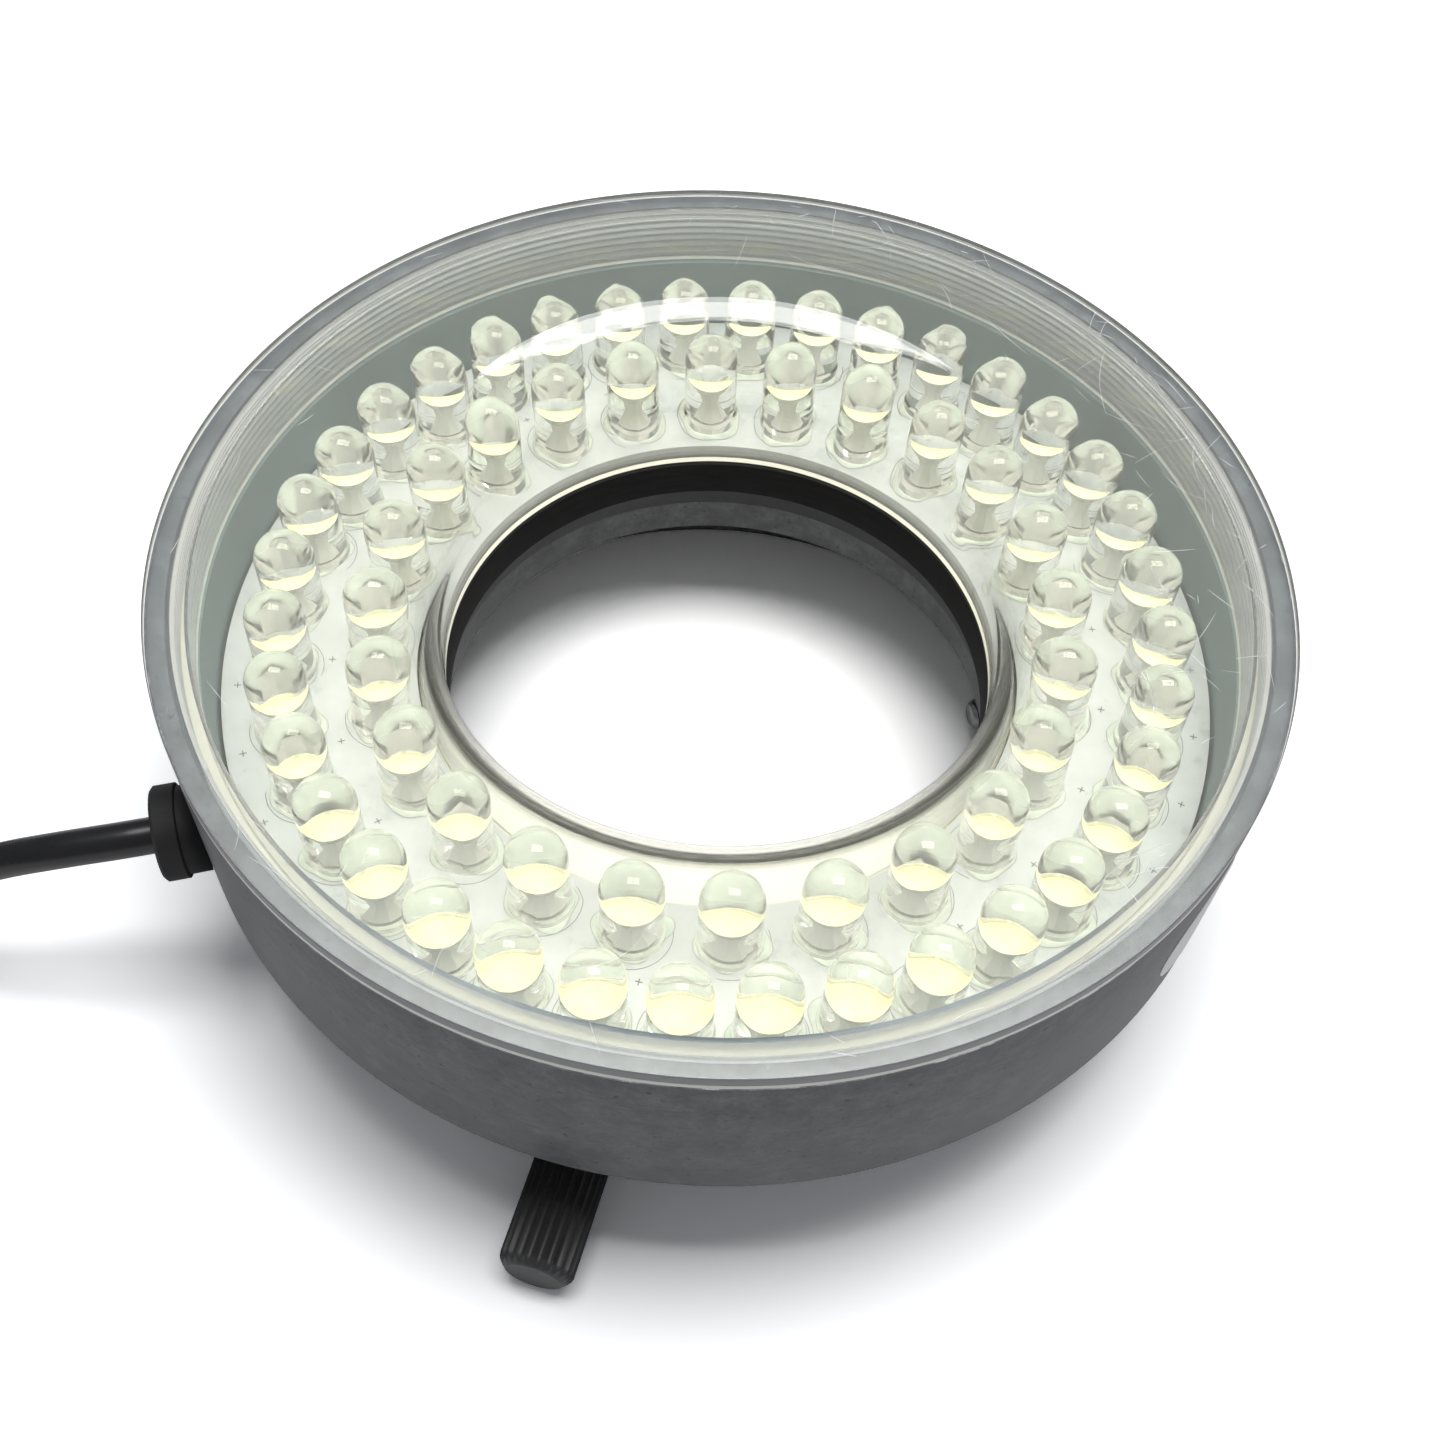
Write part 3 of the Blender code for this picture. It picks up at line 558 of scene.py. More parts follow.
def chip_finish():
    """The black ceramic of a chip resistor."""
    made, tree, shader = start_material("chip_resistor", (0.03, 0.03, 0.03), 0.5)
    where = object_place(tree)
    grain = noise(tree, where, 2500, 3, 0.5)
    colour = ramp(tree, grain, [(0.3, (0.018, 0.018, 0.019)), (0.7, (0.05, 0.05, 0.052))])
    tree.links.new(colour, shader.inputs["Base Color"])
    bump(tree, shader, grain, 0.2, 0.00005)
    return made


# ---------------------------------------------------------------- housing, sleeve and cover

SCREW_ANGLES = {"front": math.radians(-103), "right": math.radians(17), "rear": math.radians(137)}
SCREW_SET_BACK = {"front": 0, "right": 0, "rear": 6.0}
SCREW_HEIGHT = 3.37
SCREW_HOLE_RADIUS = 1.8
GLAND_HOLE_RADIUS = 2.5

RING_SEGMENTS = 224
COVER_SEGMENTS = 256
RIM_TOP = 32.46
UNDERSIDE = 14.4
COLLAR_RADIUS = 36.5
COLLAR_BORE = 32.2
LIP_LOW = 9.4
VIEW_RADIUS = 24.5
BASIN_FLOOR = 16.9
LEDGE_TOP = 18.95
BASIN_RADIUS = 41.9
THREAD_RADIUS = 43.4
THREAD_VALLEY = 43.15
THREAD_STARTS = (28.1, 28.8, 29.5, 30.2)
COVER_LOW = 32.5
EDGE_LINE = 32.95
SPIGOT_LOW = 27.5
ROLL_CENTRE = (33.2, 23.9)
ROLL_INNER_RADIUS = 8.7


def add_housing(finishes):
    """The turned housing. finishes are the outside's, the worn edge's and the inside's; the
    inside's is a bluer grey, lighter than the outside's as painted light from the board.
    """
    thread = []
    for low in THREAD_STARTS:
        thread += [(THREAD_RADIUS, low), (THREAD_VALLEY, low + 0.35)]
    outline = [
        (OUTER_RADIUS, RIM_TOP), (OUTER_RADIUS, UNDERSIDE + 0.4), (OUTER_RADIUS - 0.4, UNDERSIDE),
        (COLLAR_RADIUS, UNDERSIDE), (COLLAR_RADIUS, 0.4), (COLLAR_RADIUS - 0.4, 0),
        (COLLAR_BORE + 0.4, 0), (COLLAR_BORE, 0.4), (COLLAR_BORE, LIP_LOW), (VIEW_RADIUS, LIP_LOW),
        (VIEW_RADIUS, BASIN_FLOOR), (40.6, BASIN_FLOOR), (40.6, LEDGE_TOP),
        (BASIN_RADIUS, LEDGE_TOP), (BASIN_RADIUS, 27.2), (THREAD_RADIUS, 27.2),
        *thread, (THREAD_RADIUS, 30.9), (THREAD_RADIUS, RIM_TOP),
    ]
    shape = bmesh.new()

    def slot(radius, height):
        if radius > 44.88 and height > 32.16:
            return 1
        # Slot 2, the basin inside, is lighter than the outside: painted bounce light from the
        # board.
        return 2 if 16.5 < height < 31.5 and 24.6 < radius < 43.45 else 0

    turn(shape, softened(outline, 0.18), RING_SEGMENTS, slot=slot)
    piece = finish_mesh("housing_shell", shape, finishes)
    for angle in SCREW_ANGLES.values():
        drill(piece, SCREW_HOLE_RADIUS, 6.3, polar(angle, COLLAR_BORE - 1, SCREW_HEIGHT), angle)
    drill(piece, GLAND_HOLE_RADIUS, 6.5, gland_point(-5.4), GLAND_HEADING)
    piece.data.shade_smooth()
    piece.data.set_sharp_from_angle(angle=math.radians(SHARP_EDGE))
    on_body(piece, ROOT, "anodised_housing", "housing")


def add_sleeve(finishes):
    """The bore's sleeve with its flange and cone. finishes are the sleeve's and the cone's; the
    cone's lighter grey is painted light, the bounce from the paper that its downward face catches.
    """
    outline = [
        (24.5, 19.4), (24.5, 18.95), (26.6, 18.95), (26.6, 17.2), (24.2, 17.2), (24.2, 13.4),
        (24.0, 13.4), (23.2, 15.85), (23.2, 19.4),
    ]
    shape = bmesh.new()

    def slot(radius, height):
        # Slot 1, the cone, takes a lighter grey than the sleeve: painted bounce light.
        return 1 if height < 15.8 and radius < 24.25 else 0

    turn(shape, softened(outline, 0.08), RING_SEGMENTS, slot=slot)
    piece = finish_mesh("sleeve_lining", shape, finishes)
    on_body(piece, ROOT, "matt_black_sleeve", "bore_sleeve")


def add_cover(finishes):
    """The clear cover, its rim edge frosted by the lathe and its spigot threaded.

    finishes are the polished face's, the thread's, the frosted edge's, the spigot's, whose dark
    blue-grey tint is painted shade, and the edge's dark upper part, which is painted shade too.
    """
    thread = []
    for index in range(6):
        low = 27.85 + 0.72 * index
        thread += [(43.1, low), (42.78, low + 0.22), (42.78, low + 0.36), (43.1, low + 0.58)]
    outline = [
        (OUTER_RADIUS, COVER_LOW),
        (OUTER_RADIUS, EDGE_LINE),
        (OUTER_RADIUS, CLEAR_TOP - 0.08),
        (OUTER_RADIUS - 0.08, CLEAR_TOP),
        *arc(ROLL_CENTRE, CLEAR_TOP - ROLL_CENTRE[1], 90, 180, 24),
        (23.21, 19.85),
        (23.36, 19.7),
        (24.5, 19.7),
        *arc(ROLL_CENTRE, ROLL_INNER_RADIUS, 180, 90, 20),
        (41.7, 32.6),
        (42.0, 32.3),
        (42.0, SPIGOT_LOW + 0.1),
        (42.1, SPIGOT_LOW),
        (43.0, SPIGOT_LOW),
        *thread,
        (43.1, COVER_LOW),
    ]
    shape = bmesh.new()

    def slot(radius, height):
        if radius > 44.9:
            # The outer edge's upper part is dark grey: painted shade.
            return 4 if height > EDGE_LINE else 2
        if height < 27.65 and radius > 41.9:
            return 2
        if height < 32.4 and radius > 42.5:
            return 1
        # The spigot's inner wall: a dark blue-grey tint, painted shade of the hollow behind it.
        if height < 32.7 and radius > 41.5:
            return 3
        if height < 19.75:
            return 2
        return 0

    turn(shape, outline, COVER_SEGMENTS, slot=slot)
    piece = finish_mesh("cover_lens", shape, finishes, sharp=26)
    on_body(piece, ROOT, "clear_acrylic", "clear_cover")


SCRATCHES = 150


def add_scratches(pale):
    """Hairline scratches on the cover's face, most of them near its rim."""
    shape = bmesh.new()
    top = CLEAR_TOP + 0.006
    for index in range(SCRATCHES):
        near_rim = index % 3 != 0
        radius = chance.uniform(38.5, 44.4) if near_rim else chance.uniform(33.6, 42)
        angles = (chance.gauss(0.9, 0.5), chance.gauss(0.1, 0.5), chance.uniform(0, math.tau))
        angle = chance.choice(angles)
        heading = angle + math.pi / 2 + chance.gauss(0, 0.9)
        length = min(9.0, 0.6 + chance.expovariate(0.55))
        bend = chance.gauss(0, 0.06)
        width = chance.uniform(0.010, 0.028)
        steps = max(3, int(length / 0.5))
        spot = polar(angle, radius, 0)
        left, right = [], []
        for step in range(steps + 1):
            way = Vector((math.cos(heading), math.sin(heading), 0))
            swell = math.sin(math.pi * (0.08 + 0.84 * step / steps))
            side = Vector((-way.y, way.x, 0)) * width * swell
            reach = math.hypot(spot.x, spot.y)
            if not 33.4 < reach < 44.7:
                break
            left.append(shape.verts.new((spot.x + side.x, spot.y + side.y, top)))
            right.append(shape.verts.new((spot.x - side.x, spot.y - side.y, top)))
            spot = spot + way * length / steps
            heading += bend
        for first, second, third, fourth in zip(left, left[1:], right[1:], right):
            shape.faces.new((first, second, third, fourth))
    piece = finish_mesh("cover_scratches", shape, [pale])
    on_body(piece, ROOT, "clear_acrylic", "clear_cover")


# ---------------------------------------------------------------- board and LEDs

BOARD_TOP = 20.85
LED_RINGS = [(28.5, 24, math.radians(4.44)), (36.3, 36, math.radians(8.28))]
BAND_STEPS = 40
PRINT_RING = (3.14, 3.20)
PRINT_SWEEP = math.radians(130)
PLUS_SIGN = (0.6, 0.09, 0.02)


def led_places():
    """Each LED's angle and foot."""
    for circle, count, start in LED_RINGS:
        for index in range(count):
            angle = start + math.tau * index / count
            yield angle, polar(angle, circle, BOARD_TOP)


def ring_band(shape, centre, inner, outer, height, start=0.0, sweep=math.tau, slot=0, wobble=None):
    """A thin printed or flowed band round a point, lying on the board."""
    inside, outside = [], []
    whole = sweep >= math.tau - 1e-6
    for step in range(BAND_STEPS if whole else BAND_STEPS + 1):
        angle = start + sweep * step / BAND_STEPS
        grow = wobble(angle) if wobble else 0
        for row, radius in ((inside, inner + grow), (outside, outer + grow)):
            spot = centre + polar(angle, radius, 0)
            row.append(shape.verts.new((spot.x, spot.y, height)))
    count = len(inside)
    for step in range(count if whole else count - 1):
        following = (step + 1) % count
        corners = (inside[step], outside[step], outside[following], inside[following])
        shape.faces.new(corners).material_index = slot


def uneven_edge(phases):
    """How far a puddle's edge stands out, as a function of the angle."""

    def wobble(spot):
        waves = enumerate(phases, 2)
        return sum(size * math.sin(order * spot + phase) for order, (phase, size) in waves)

    return wobble


def add_board(mask, ink, flux, rim):
    """The board's plate, its print and the flux that dried round each LED's foot."""
    shape = bmesh.new()
    outline = [(41.6, 20.85), (41.6, 19.25), (24.8, 19.25), (24.8, 20.85)]
    turn(shape, softened(outline, 0.1), 192)
    on_body(finish_mesh("board_plate", shape, [mask]), ROOT, "white_board", "led_board")

    shape = bmesh.new()
    for angle, foot in led_places():
        opening = angle + math.radians(chance.choice((20, -20, 160)))
        ring_band(shape, foot, *PRINT_RING, BOARD_TOP + 0.02, opening, PRINT_SWEEP)
        sign = foot + polar(angle, 3.9, 0) + polar(angle + math.pi / 2, 1.6, 0)
        centre = Matrix.Translation((sign.x, sign.y, BOARD_TOP + 0.015))
        for turned in (0, math.pi / 2):
            place = centre @ Matrix.Rotation(angle + turned, 4, "Z")
            bmesh.ops.create_cube(shape, size=1, matrix=place @ Matrix.Diagonal((*PLUS_SIGN, 1)))
    on_body(finish_mesh("board_print", shape, [ink]), ROOT, "white_board", "led_board")

    shape = bmesh.new()
    for angle, foot in led_places():
        phases = [(chance.uniform(0, math.tau), chance.uniform(0.05, 0.22)) for _ in range(4)]
        wobble = uneven_edge(phases)
        reach = chance.uniform(2.62, 2.9)
        middle = foot + polar(chance.uniform(0, math.tau), chance.uniform(0, 0.3), 0)
        ring_band(shape, middle, 0.4, reach, BOARD_TOP + 0.035, wobble=wobble)
        ring_band(shape, middle, reach, reach + 0.08, BOARD_TOP + 0.03, wobble=wobble, slot=1)
    on_body(finish_mesh("flux_puddles", shape, [flux, rim]), ROOT, "white_board", "led_board")

    number = bpy.data.curves.new("position_number", "FONT")
    number.body = "7"
    number.size = 1.7 * MM
    number.extrude = 0.01 * MM
    number.align_x = "CENTER"
    number.materials.append(ink)
    piece = link_object("position_number", number)
    piece.location = (3.35 * MM, 32.1 * MM, (BOARD_TOP + 0.02) * MM)
    on_body(piece, ROOT, "white_board", "led_board")


def led_mesh(finishes, twist):
    """A clear 5 mm LED: flanged epoxy body round a post with its filled cup.

    finishes are the epoxy's, the phosphor's, the cup's and the post's; the cup's and the post's
    near-white, nearly matt silver is partly painted reflection.
    """
    shape = bmesh.new()
    dome = arc((0, 6.25), 2.45, 0, 90, 10)[:-1]
    body = [
        (0, 0.0), (2.52, 0.0), (2.64, 0.12), (2.64, 0.74), (2.54, 0.86), (2.45, 0.98),
        *dome, (0, 8.7),
    ]
    turn(shape, body, 40, closed=False)
    flat_side = 2.5
    for vert in shape.verts:
        if vert.co.z < 0.9 and vert.co.x > flat_side:
            vert.co.x = flat_side
    cup = [(0, 3.4), (0.6, 3.4), (0.72, 3.5), (1.16, 4.22), (1.11, 4.26), (1.07, 4.18), (0, 4.14)]
    turn(shape, cup, 28, closed=False, slot=2)
    blob = [(0, 4.17), (1.06, 4.20), (0.82, 4.30), (0.45, 4.36), (0, 4.38)]
    turn(shape, blob, 28, closed=False, slot=1)
    # The post is silver plate, drawn matt white: painted reflection.
    post = [(0, 0.25), (0.85, 0.25), (0.7, 1.1), (0.42, 2.3), (0.55, 3.36), (0, 3.36)]
    turn(shape, post, 7, closed=False, slot=3)
    twisted = Matrix.Rotation(twist, 3, "Z")
    bmesh.ops.rotate(shape, cent=(0, 0, 0), matrix=twisted, verts=shape.verts)
    bmesh.ops.recalc_face_normals(shape, faces=shape.faces)
    bmesh.ops.scale(shape, vec=(MM, MM, MM), verts=shape.verts)
    data = bpy.data.meshes.new("led")
    shape.to_mesh(data)
    shape.free()
    data.shade_smooth()
    data.set_sharp_from_angle(angle=math.radians(SHARP_EDGE))
    for finish in finishes:
        data.materials.append(finish)
    return data


def add_leds(finishes):
    """Sixty LEDs, each a little turned, lifted and leaning, as soldered by hand."""
    kinds = [led_mesh(finishes, twist) for twist in (0.0, 0.45, -0.6)]
    for index, (angle, foot) in enumerate(led_places()):
        piece = link_object(f"led_{index + 1:02d}", kinds[chance.randrange(3)])
        lean_axis = polar(chance.uniform(0, math.tau), 1, 0)
        lean = Matrix.Rotation(math.radians(chance.uniform(0, 1.6)), 4, lean_axis)
        lift = chance.uniform(0.10, 0.28)
        place = Matrix.Translation((foot + Vector((0, 0, lift))) * MM)
        piece.matrix_world = place @ lean @ Matrix.Rotation(angle + chance.gauss(0, 0.12), 4, "Z")
        on_body(piece, ROOT, "white_board", "led_board")


# ---------------------------------------------------------------- thumbscrews

KNOB_INNER_END_AT = 40.4
KNOB_RADIUS = 3.07
KNOB_SEGMENTS = 192
FLUTES = 24
FLUTE_DEPTH = 0.34
KNOB_HOLE_RADIUS = 1.8
STUD_TIP_AT = 25.7
STUD_LENGTH = 20.4
STUD_RADIUS = 1.5
STUD_SEGMENTS = 20
THREAD_PITCH = 0.5
THREAD_DEPTH = 0.28
ROWS_PER_PITCH = 5


def flute_radius(angle, crest, depth):
    """A fluted outline: round valleys between narrow crests."""
    share = (angle * FLUTES / math.tau) % 1
    return crest - depth * math.sin(math.pi * share) ** 0.8


def add_knob(side, angle, black):
    """The fluted knob, with its stud's hole and a shallow dish in its outer end."""
    shape = bmesh.new()

    def ring(height, crest, depth):
        points = []
        for index in range(KNOB_SEGMENTS):
            around = math.tau * index / KNOB_SEGMENTS
            radius = flute_radius(around, crest, depth)
            points.append(shape.verts.new(polar(around, radius, height)))
        return points

    def plain(height, radius):
        return ring(height, radius, 0)

    rings = [
        plain(6.0, KNOB_HOLE_RADIUS),
        plain(0.0, KNOB_HOLE_RADIUS),
        plain(0.0, 2.55),
        ring(0.12, 2.8, 0.12),
        ring(0.32, KNOB_RADIUS, FLUTE_DEPTH),
        ring(8.75, KNOB_RADIUS, FLUTE_DEPTH),
        ring(9.05, 2.94, 0.24),
        ring(9.40, 2.64, 0.06),
        plain(9.62, 2.40),
        plain(9.69, 2.25),
        plain(9.62, 2.10),
        plain(9.58, 0.6),
    ]
    for lower, upper in zip(rings, rings[1:]):
        join_rings(shape, lower, upper)
    shape.faces.new(rings[0])
    shape.faces.new(rings[-1])
    piece = finish_mesh("fluted_knob_" + side, shape, [black], sharp=40)
    foot = polar(angle, KNOB_INNER_END_AT + SCREW_SET_BACK[side], SCREW_HEIGHT)
    settle(piece, laid_along(foot, angle))
    on_body(piece, side + "_knob", "black_nylon", "thumbscrew_knob_" + side)


def add_stud(side, angle, steel):
    """The stud with its thread cut as a real helix."""
    shape = bmesh.new()
    rows = []
    total = int(STUD_LENGTH / THREAD_PITCH * ROWS_PER_PITCH)
    for row in range(total + 1):
        height = STUD_LENGTH * row / total
        tip_radius = 1.05 + height
        points = []
        for index in range(STUD_SEGMENTS):
            around = math.tau * index / STUD_SEGMENTS
            share = (height / THREAD_PITCH - around / math.tau) % 1
            cut = THREAD_DEPTH * max(0.0, 1 - abs(share - 0.5) / 0.42)
            radius = min(tip_radius, STUD_RADIUS - cut)
            points.append(shape.verts.new(polar(around, radius, height)))
        rows.append(points)
    for lower, upper in zip(rows, rows[1:]):
        join_rings(shape, lower, upper)
    shape.faces.new(rows[0])
    shape.faces.new(rows[-1])
    piece = finish_mesh("threaded_stud_" + side, shape, [steel], sharp=50)
    tip = polar(angle, STUD_TIP_AT + SCREW_SET_BACK[side], SCREW_HEIGHT)
    settle(piece, laid_along(tip, angle))
    on_body(piece, side + "_stud", "screw_steel", "thumbscrew_stud_" + side)


# ---------------------------------------------------------------- bush, plug, tie and label

def add_gland(rubber):
    """The strain relief bush, its back face cut to follow the round wall, and its neck."""
    outline = [
        (0, 1.6), (1.62, 1.6), (1.62, 3.0), (1.78, 3.2), (3.62, 3.2), (3.9, 2.95),
        (3.9, 1.3), (3.8, 1.22), (3.62, 1.2), (3.6, -0.9), (3.3, -0.95), (0, -0.95),
    ]
    shape = bmesh.new()
    turn(shape, outline, 96, closed=False)
    bush = finish_mesh("strain_relief_bush", shape, [rubber])
    settle(bush, laid_along(gland_point(0), GLAND_HEADING))
    shape = bmesh.new()
    wall_radius = OUTER_RADIUS + 0.06
    wall = [(0, 12), (wall_radius, 12), (wall_radius, 24), (0, 24)]
    turn(shape, wall, 256, closed=False)
    cut_away(bush, finish_mesh("wall_cutter", shape, []))
    on_body(bush, ROOT, "black_rubber", "cable_gland")

    shape = bmesh.new()
    outline = [(0, -3.2), (2.2, -3.2), (2.2, -0.2), (0, -0.2)]
    turn(shape, softened(outline, 0.2, closed=False), 48, closed=False)
    neck = finish_mesh("strain_relief_neck", shape, [rubber])
    settle(neck, laid_along(gland_point(0), GLAND_HEADING))
    on_body(neck, ROOT, "black_rubber", "cable_gland")
    return bush, neck


def add_plug(end, way, vinyl, nickel, nylon):
    """A moulded plug: slotted strain relief, gripping ribs, barrel and insulator."""
    heading = math.atan2(way.y, way.x)
    foot = end + way * 0.3
    shape = bmesh.new()
    relief = [(0, 0.0), (2.3, 0.0), (2.6, 0.25)]
    for index in range(6):
        at = 0.9 + 1.5 * index
        radius = 2.65 + 0.14 * at
        relief += [
            (radius, at), (radius - 0.55, at + 0.12),
            (radius - 0.50, at + 0.6), (radius + 0.08, at + 0.72),
        ]
    grip = [(4.0, 10.0), (5.1, 10.7), (5.45, 11.6)]
    for index in range(9):
        at = 13.0 + 1.1 * index
        grip += [(5.48, at), (5.16, at + 0.18), (5.16, at + 0.5), (5.48, at + 0.68)]
    nose = [(5.5, 24.4), (5.5, 27.9), (5.2, 28.7), (4.7, 29.0), (0, 29.0)]
    turn(shape, relief + grip + nose, 72, closed=False)
    flat, bulge = 4.75, 0.25
    for vert in shape.verts:
        if 11.5 < vert.co.z < 24.3 and abs(vert.co.x) > flat:
            vert.co.x = math.copysign(flat + (abs(vert.co.x) - flat) * bulge, vert.co.x)
    body = finish_mesh("plug_body", shape, [vinyl])
    settle(body, laid_along(foot, heading))
    on_body(body, ROOT, "black_vinyl", "plug_grip")

    face = foot + way * 29.3
    shape = bmesh.new()
    outline = [(2.75, 0), (2.75, 9.3), (2.55, 9.5), (2.25, 9.5), (2.25, 0)]
    turn(shape, softened(outline, 0.07), 64)
    barrel = finish_mesh("plug_sleeve", shape, [nickel])
    settle(barrel, laid_along(face, heading))
    on_body(barrel, ROOT, "nickel_plate", "plug_barrel")

    shape = bmesh.new()
    outline = [(1.95, 0), (1.95, 9.3), (1.05, 9.3), (1.05, 0)]
    turn(shape, softened(outline, 0.12), 48)
    core = finish_mesh("plug_core", shape, [nylon])
    settle(core, laid_along(face, heading))
    on_body(core, ROOT, "white_nylon", "plug_insulator")
    return [body, barrel, core]


STRAP_THICKNESS = 0.5
STRAP_HALF_WIDTH = 2.0


def rounded_rectangle(half_width, half_height, corner):
    points = []
    for quarter, (x_sign, z_sign) in enumerate(((1, 1), (-1, 1), (-1, -1), (1, -1))):
        centre = (x_sign * (half_width - corner), z_sign * (half_height - corner))
        points += arc(centre, corner, quarter * 90, quarter * 90 + 90, 6)
    return points


def add_tie(strap):
    """The strap round the coil, with raised ribs along it."""
    inner_radius = COIL_OUTER_RADIUS - COIL_PITCH * COIL_TURNS / 2 - CORD_RADIUS
    outer_radius = COIL_OUTER_RADIUS + CORD_RADIUS
    half_width = (outer_radius - inner_radius) / 2 + 0.5
    half_height = (COIL_HIGH - COIL_LOW) / 2 + CORD_RADIUS + 0.3
    outer = rounded_rectangle(half_width + STRAP_THICKNESS, half_height + STRAP_THICKNESS, 2.1)
    inner = rounded_rectangle(half_width, half_height, 1.6)
    depths = [-STRAP_HALF_WIDTH, -1.9, -1.2, -1.05, -0.3, -0.15]
    depths += [-depth for depth in reversed(depths)]
    dips = [0.12, 0.0, 0.0, 0.08, 0.08, 0.0]
    dips += dips[::-1]
    shape = bmesh.new()
    rings = []
    for depth, dip in zip(depths, dips):
        share = dip / STRAP_THICKNESS
        rings.append([
            shape.verts.new((x + (ix - x) * share, depth, z + (iz - z) * share))
            for (x, z), (ix, iz) in zip(outer, inner)
        ])
    for depth in (STRAP_HALF_WIDTH, -STRAP_HALF_WIDTH):
        rings.append([shape.verts.new((x, depth, z)) for x, z in inner])
    for lower, upper in zip(rings, rings[1:] + rings[:1]):
        join_rings(shape, lower, upper)
    piece = finish_mesh("coil_strap", shape, [strap])
    middle = polar(TIE_ANGLE, (inner_radius + outer_radius) / 2, (COIL_LOW + COIL_HIGH) / 2)
    middle += Vector((*COIL_CENTRE, 0))
    settle(piece, Matrix.Translation(middle) @ Matrix.Rotation(TIE_ANGLE, 4, "Z"))
    on_body(piece, ROOT, "black_vinyl", "coil_tie")
    return piece


LABEL_ANGLE = math.radians(-33.5)
LABEL_HEIGHT = 23.3
LABEL_RADIUS = 5.3
LABEL_SEGMENTS = 72


def add_label(paper):
    """A bare round label on the housing's side."""
    shape = bmesh.new()
    middle = shape.verts.new(polar(LABEL_ANGLE, OUTER_RADIUS + 0.10, LABEL_HEIGHT))
    rings = []
    for share, stand in ((0.35, 0.10), (0.7, 0.10), (0.97, 0.10), (1.0, 0.06), (1.0, 0.01)):
        reach = LABEL_RADIUS * share
        ring = []
        for index in range(LABEL_SEGMENTS):
            around = math.tau * index / LABEL_SEGMENTS
            angle = LABEL_ANGLE + reach * math.cos(around) / OUTER_RADIUS
            height = LABEL_HEIGHT + reach * math.sin(around)
            ring.append(shape.verts.new(polar(angle, OUTER_RADIUS + stand, height)))
        rings.append(ring)
    for first, second in zip(rings[0], rings[0][1:] + rings[0][:1]):
        shape.faces.new((middle, first, second))
    for lower, upper in zip(rings, rings[1:]):
        join_rings(shape, upper, lower)
    on_body(finish_mesh("round_label", shape, [paper]), ROOT, "white_board")


# ---------------------------------------------------------------- stage and light

FLOOR_DROP = 0.02
FLOOR_SEEN = (1.55, 1.55, 1.56, 1)
LAMP_SIZE = (0.68, 0.40)
LAMP_PLACE = (0.085, 0.105, 1.0)
LAMP_ENERGY = 7.8
SKY_COLOUR = (0.93, 0.96, 1.0, 1)
SKY_STRENGTH = 0.21


def seen_rays(tree):
    """1 for rays from the camera, also where they have passed through a clear piece."""
    path = node(tree, "ShaderNodeLightPath")
    inputs = {0: path.outputs["Is Camera Ray"], 1: path.outputs["Is Transmission Ray"]}
    return node(tree, "ShaderNodeMath", inputs, operation="MAXIMUM").outputs[0]


def paper_finish():
    """Matt white paper that looks brighter than the light that it throws back."""
    made, tree, shader = start_material("paper", (0.90, 0.90, 0.91), 0.9, Specular_IOR_Level=0.1)
    pale = node(tree, "ShaderNodeBsdfDiffuse", {"Color": FLOOR_SEEN})
    inputs = {0: seen_rays(tree), 1: shader.outputs[0], 2: pale.outputs[0]}
    mixed = node(tree, "ShaderNodeMixShader", inputs)
    tree.links.new(mixed.outputs[0], tree.nodes["Material Output"].inputs["Surface"])
    return made


def add_stage():
    """The paper, one soft lamp, and a dim sky that is plain white to the eye."""
    shape = bmesh.new()
    bmesh.ops.create_grid(shape, x_segments=2, y_segments=2, size=3000)
    floor = finish_mesh("floor", shape, [paper_finish()])
    floor.location.z = -FLOOR_DROP * MM

    lamp = bpy.data.lights.new("softbox", "AREA")
    lamp.shape = "RECTANGLE"
    lamp.size, lamp.size_y = LAMP_SIZE
    lamp.energy = LAMP_ENERGY
    link_object("softbox", lamp).location = LAMP_PLACE

    world = bpy.data.worlds.new("world")
    bpy.context.scene.world = world
    world.use_nodes = True
    tree = world.node_tree
    tree.nodes.clear()
    sky = node(tree, "ShaderNodeBackground", {"Color": SKY_COLOUR, "Strength": SKY_STRENGTH})
    white = node(tree, "ShaderNodeBackground", {"Color": (1, 1, 1, 1), "Strength": 1.0})
    inputs = {0: seen_rays(tree), 1: sky.outputs[0], 2: white.outputs[0]}
    mixed = node(tree, "ShaderNodeMixShader", inputs)
    tree.links.new(mixed.outputs[0], node(tree, "ShaderNodeOutputWorld").inputs["Surface"])


# ---------------------------------------------------------------- assembly


def add_cord(line, vinyl):
    """The whole cord, with its coil, as one line."""
    data = bpy.data.curves.new("cord_line", "CURVE")
    data.dimensions = "3D"
    data.bevel_depth = CORD_RADIUS * MM
    data.bevel_resolution = 8
    data.use_fill_caps = True
    spline = data.splines.new("POLY")
    spline.points.add(len(line) - 1)
    for target, point in zip(spline.points, line):
        target.co = (*(point * MM), 1)
    data.materials.append(vinyl)
    piece = link_object("cord_line", data)
    on_body(piece, ROOT, "black_vinyl", "power_cord", "cord_coil")


def repaint(name, finish):
    """Give a CAD node that stays in view its finish."""
    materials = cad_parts[name].data.materials
    materials.clear()
    materials.append(finish)


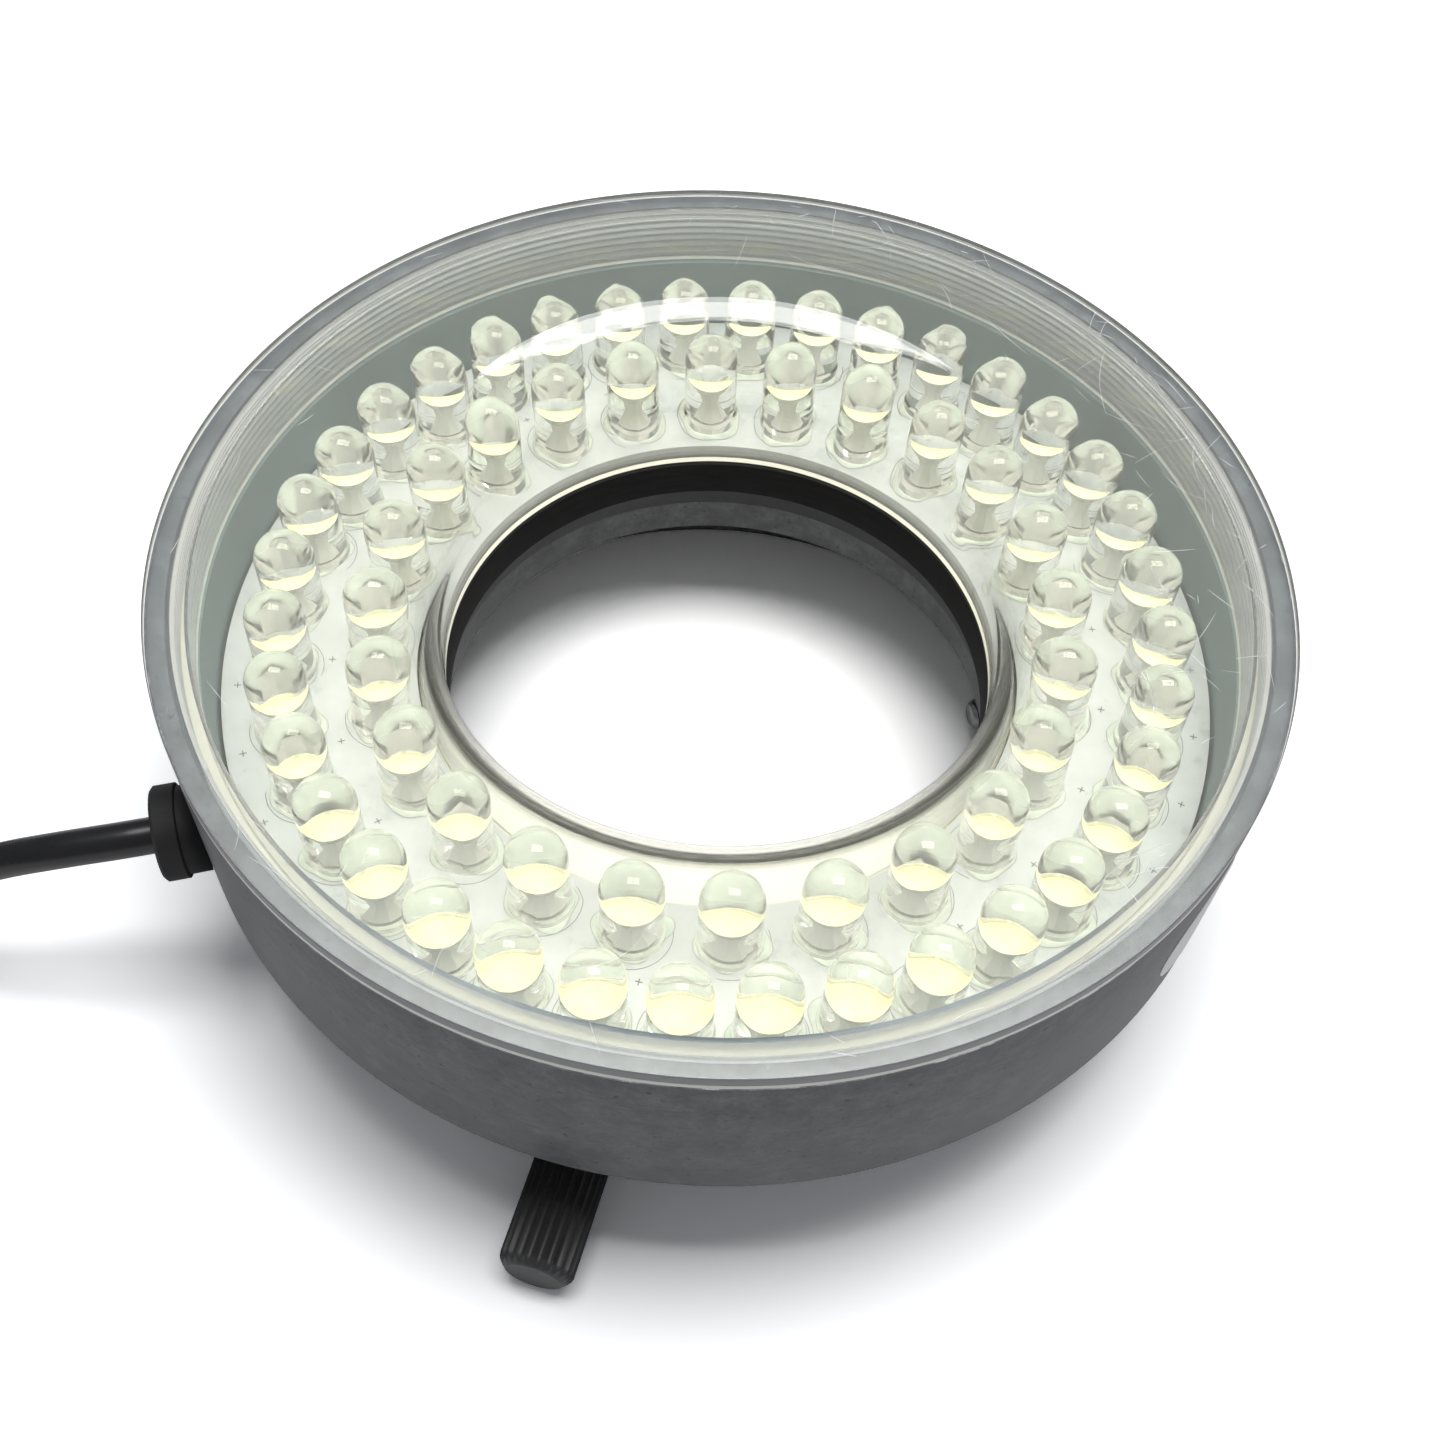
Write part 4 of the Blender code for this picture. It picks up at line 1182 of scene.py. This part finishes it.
def main():
    add_camera()
    line, end, way = cord_line()
    vinyl = plastic_finish("cord_vinyl", (0.013, 0.013, 0.014), 0.28, 1800, 0.00003)
    rubber = plastic_finish("bush_rubber", (0.017, 0.017, 0.018), 0.68, 1400, 0.00006)
    bush, neck = add_gland(rubber)
    tie = add_tie(plastic_finish("strap_nylon", (0.02, 0.02, 0.021), 0.6, 2600, 0.0001))
    plug = add_plug(
        end,
        way,
        plastic_finish("plug_vinyl", (0.016, 0.016, 0.017), 0.42, 1600, 0.00006),
        metal_finish("nickel", (0.72, 0.71, 0.68), 0.2),
        plastic_finish("white_nylon", (0.72, 0.72, 0.69), 0.45, 900, 0.00003, 0.08),
    )
    add_cord(line, vinyl)

    # The inside's bluer grey is lighter than the outside's: painted bounce light from the board.
    inside = plastic_finish("anodised_inside_painted_bounce", (0.110, 0.155, 0.180), 0.5, 900, 0.00003, 0.2)
    add_housing([anodised_finish(), worn_edge_finish(), inside])
    # The cone's grey, lighter than the sleeve's black, is painted bounce light from the paper.
    cone = plastic_finish("cone_painted_bounce_light", (0.038, 0.038, 0.041), 0.6, 1200, 0.00003, 0.2)
    add_sleeve([sleeve_finish(), cone])
    add_cover(
        [
            acrylic_finish("aged_acrylic", 0.0, (0.985, 0.985, 0.89), 0.96),
            acrylic_finish("turned_acrylic", 0.42, (0.74, 0.75, 0.76), 0.62),
            acrylic_finish("lathed_edge", 0.45, (0.80, 0.79, 0.71), 0.10),
            # The spigot wall's dark blue-grey tint is painted shade.
            acrylic_finish("spigot_wall_painted_shade", 0.15, (0.55, 0.60, 0.68), 0.90),
            # The edge's dark upper part is painted shade.
            acrylic_finish("edge_painted_shade", 0.4, (0.22, 0.22, 0.235), 0.25),
        ]
    )
    add_scratches(flux_finish("scratch", (0.85, 0.86, 0.86), 0.5))
    ink = plastic_finish("print_ink", (0.14, 0.14, 0.14), 0.6, 900, 0.00002, 0.3)
    add_board(
        board_finish(),
        ink,
        flux_finish("dried_flux", (0.52, 0.57, 0.56), 0.15),
        flux_finish("flux_rim", (0.30, 0.31, 0.30), 0.3),
    )
    # The posts' matt white is painted reflection in place of silver plate.
    posts = plastic_finish("posts_painted_reflection", (0.98, 0.98, 0.97), 0.3, 1500, 0.00002, 0.02)
    add_leds([epoxy_finish(), phosphor_finish(), lead_frame_finish(), posts])
    black = plastic_finish("knob_black", (0.040, 0.040, 0.041), 0.42, 1700, 0.00005)
    steel = metal_finish("stud_steel", (0.30, 0.30, 0.31), 0.38)
    for side, angle in SCREW_ANGLES.items():
        add_knob(side, angle, black)
        add_stud(side, angle, steel)
    add_label(plastic_finish("label_paper", (0.80, 0.80, 0.78), 0.55, 700, 0.00003, 0.06))

    chip = chip_finish()
    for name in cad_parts:
        if name.startswith("string_resistor"):
            repaint(name, chip)
    red_wire = plastic_finish("red_wire", (0.50, 0.03, 0.02), 0.4, 1200, 0.00003, 0.15)
    repaint("red_lead_wire", red_wire)
    black_wire = plastic_finish("black_wire", (0.018, 0.018, 0.018), 0.4, 1200, 0.00003)
    repaint("black_lead_wire", black_wire)
    add_stage()
    bpy.context.scene.view_settings.view_transform = "Standard"


main()
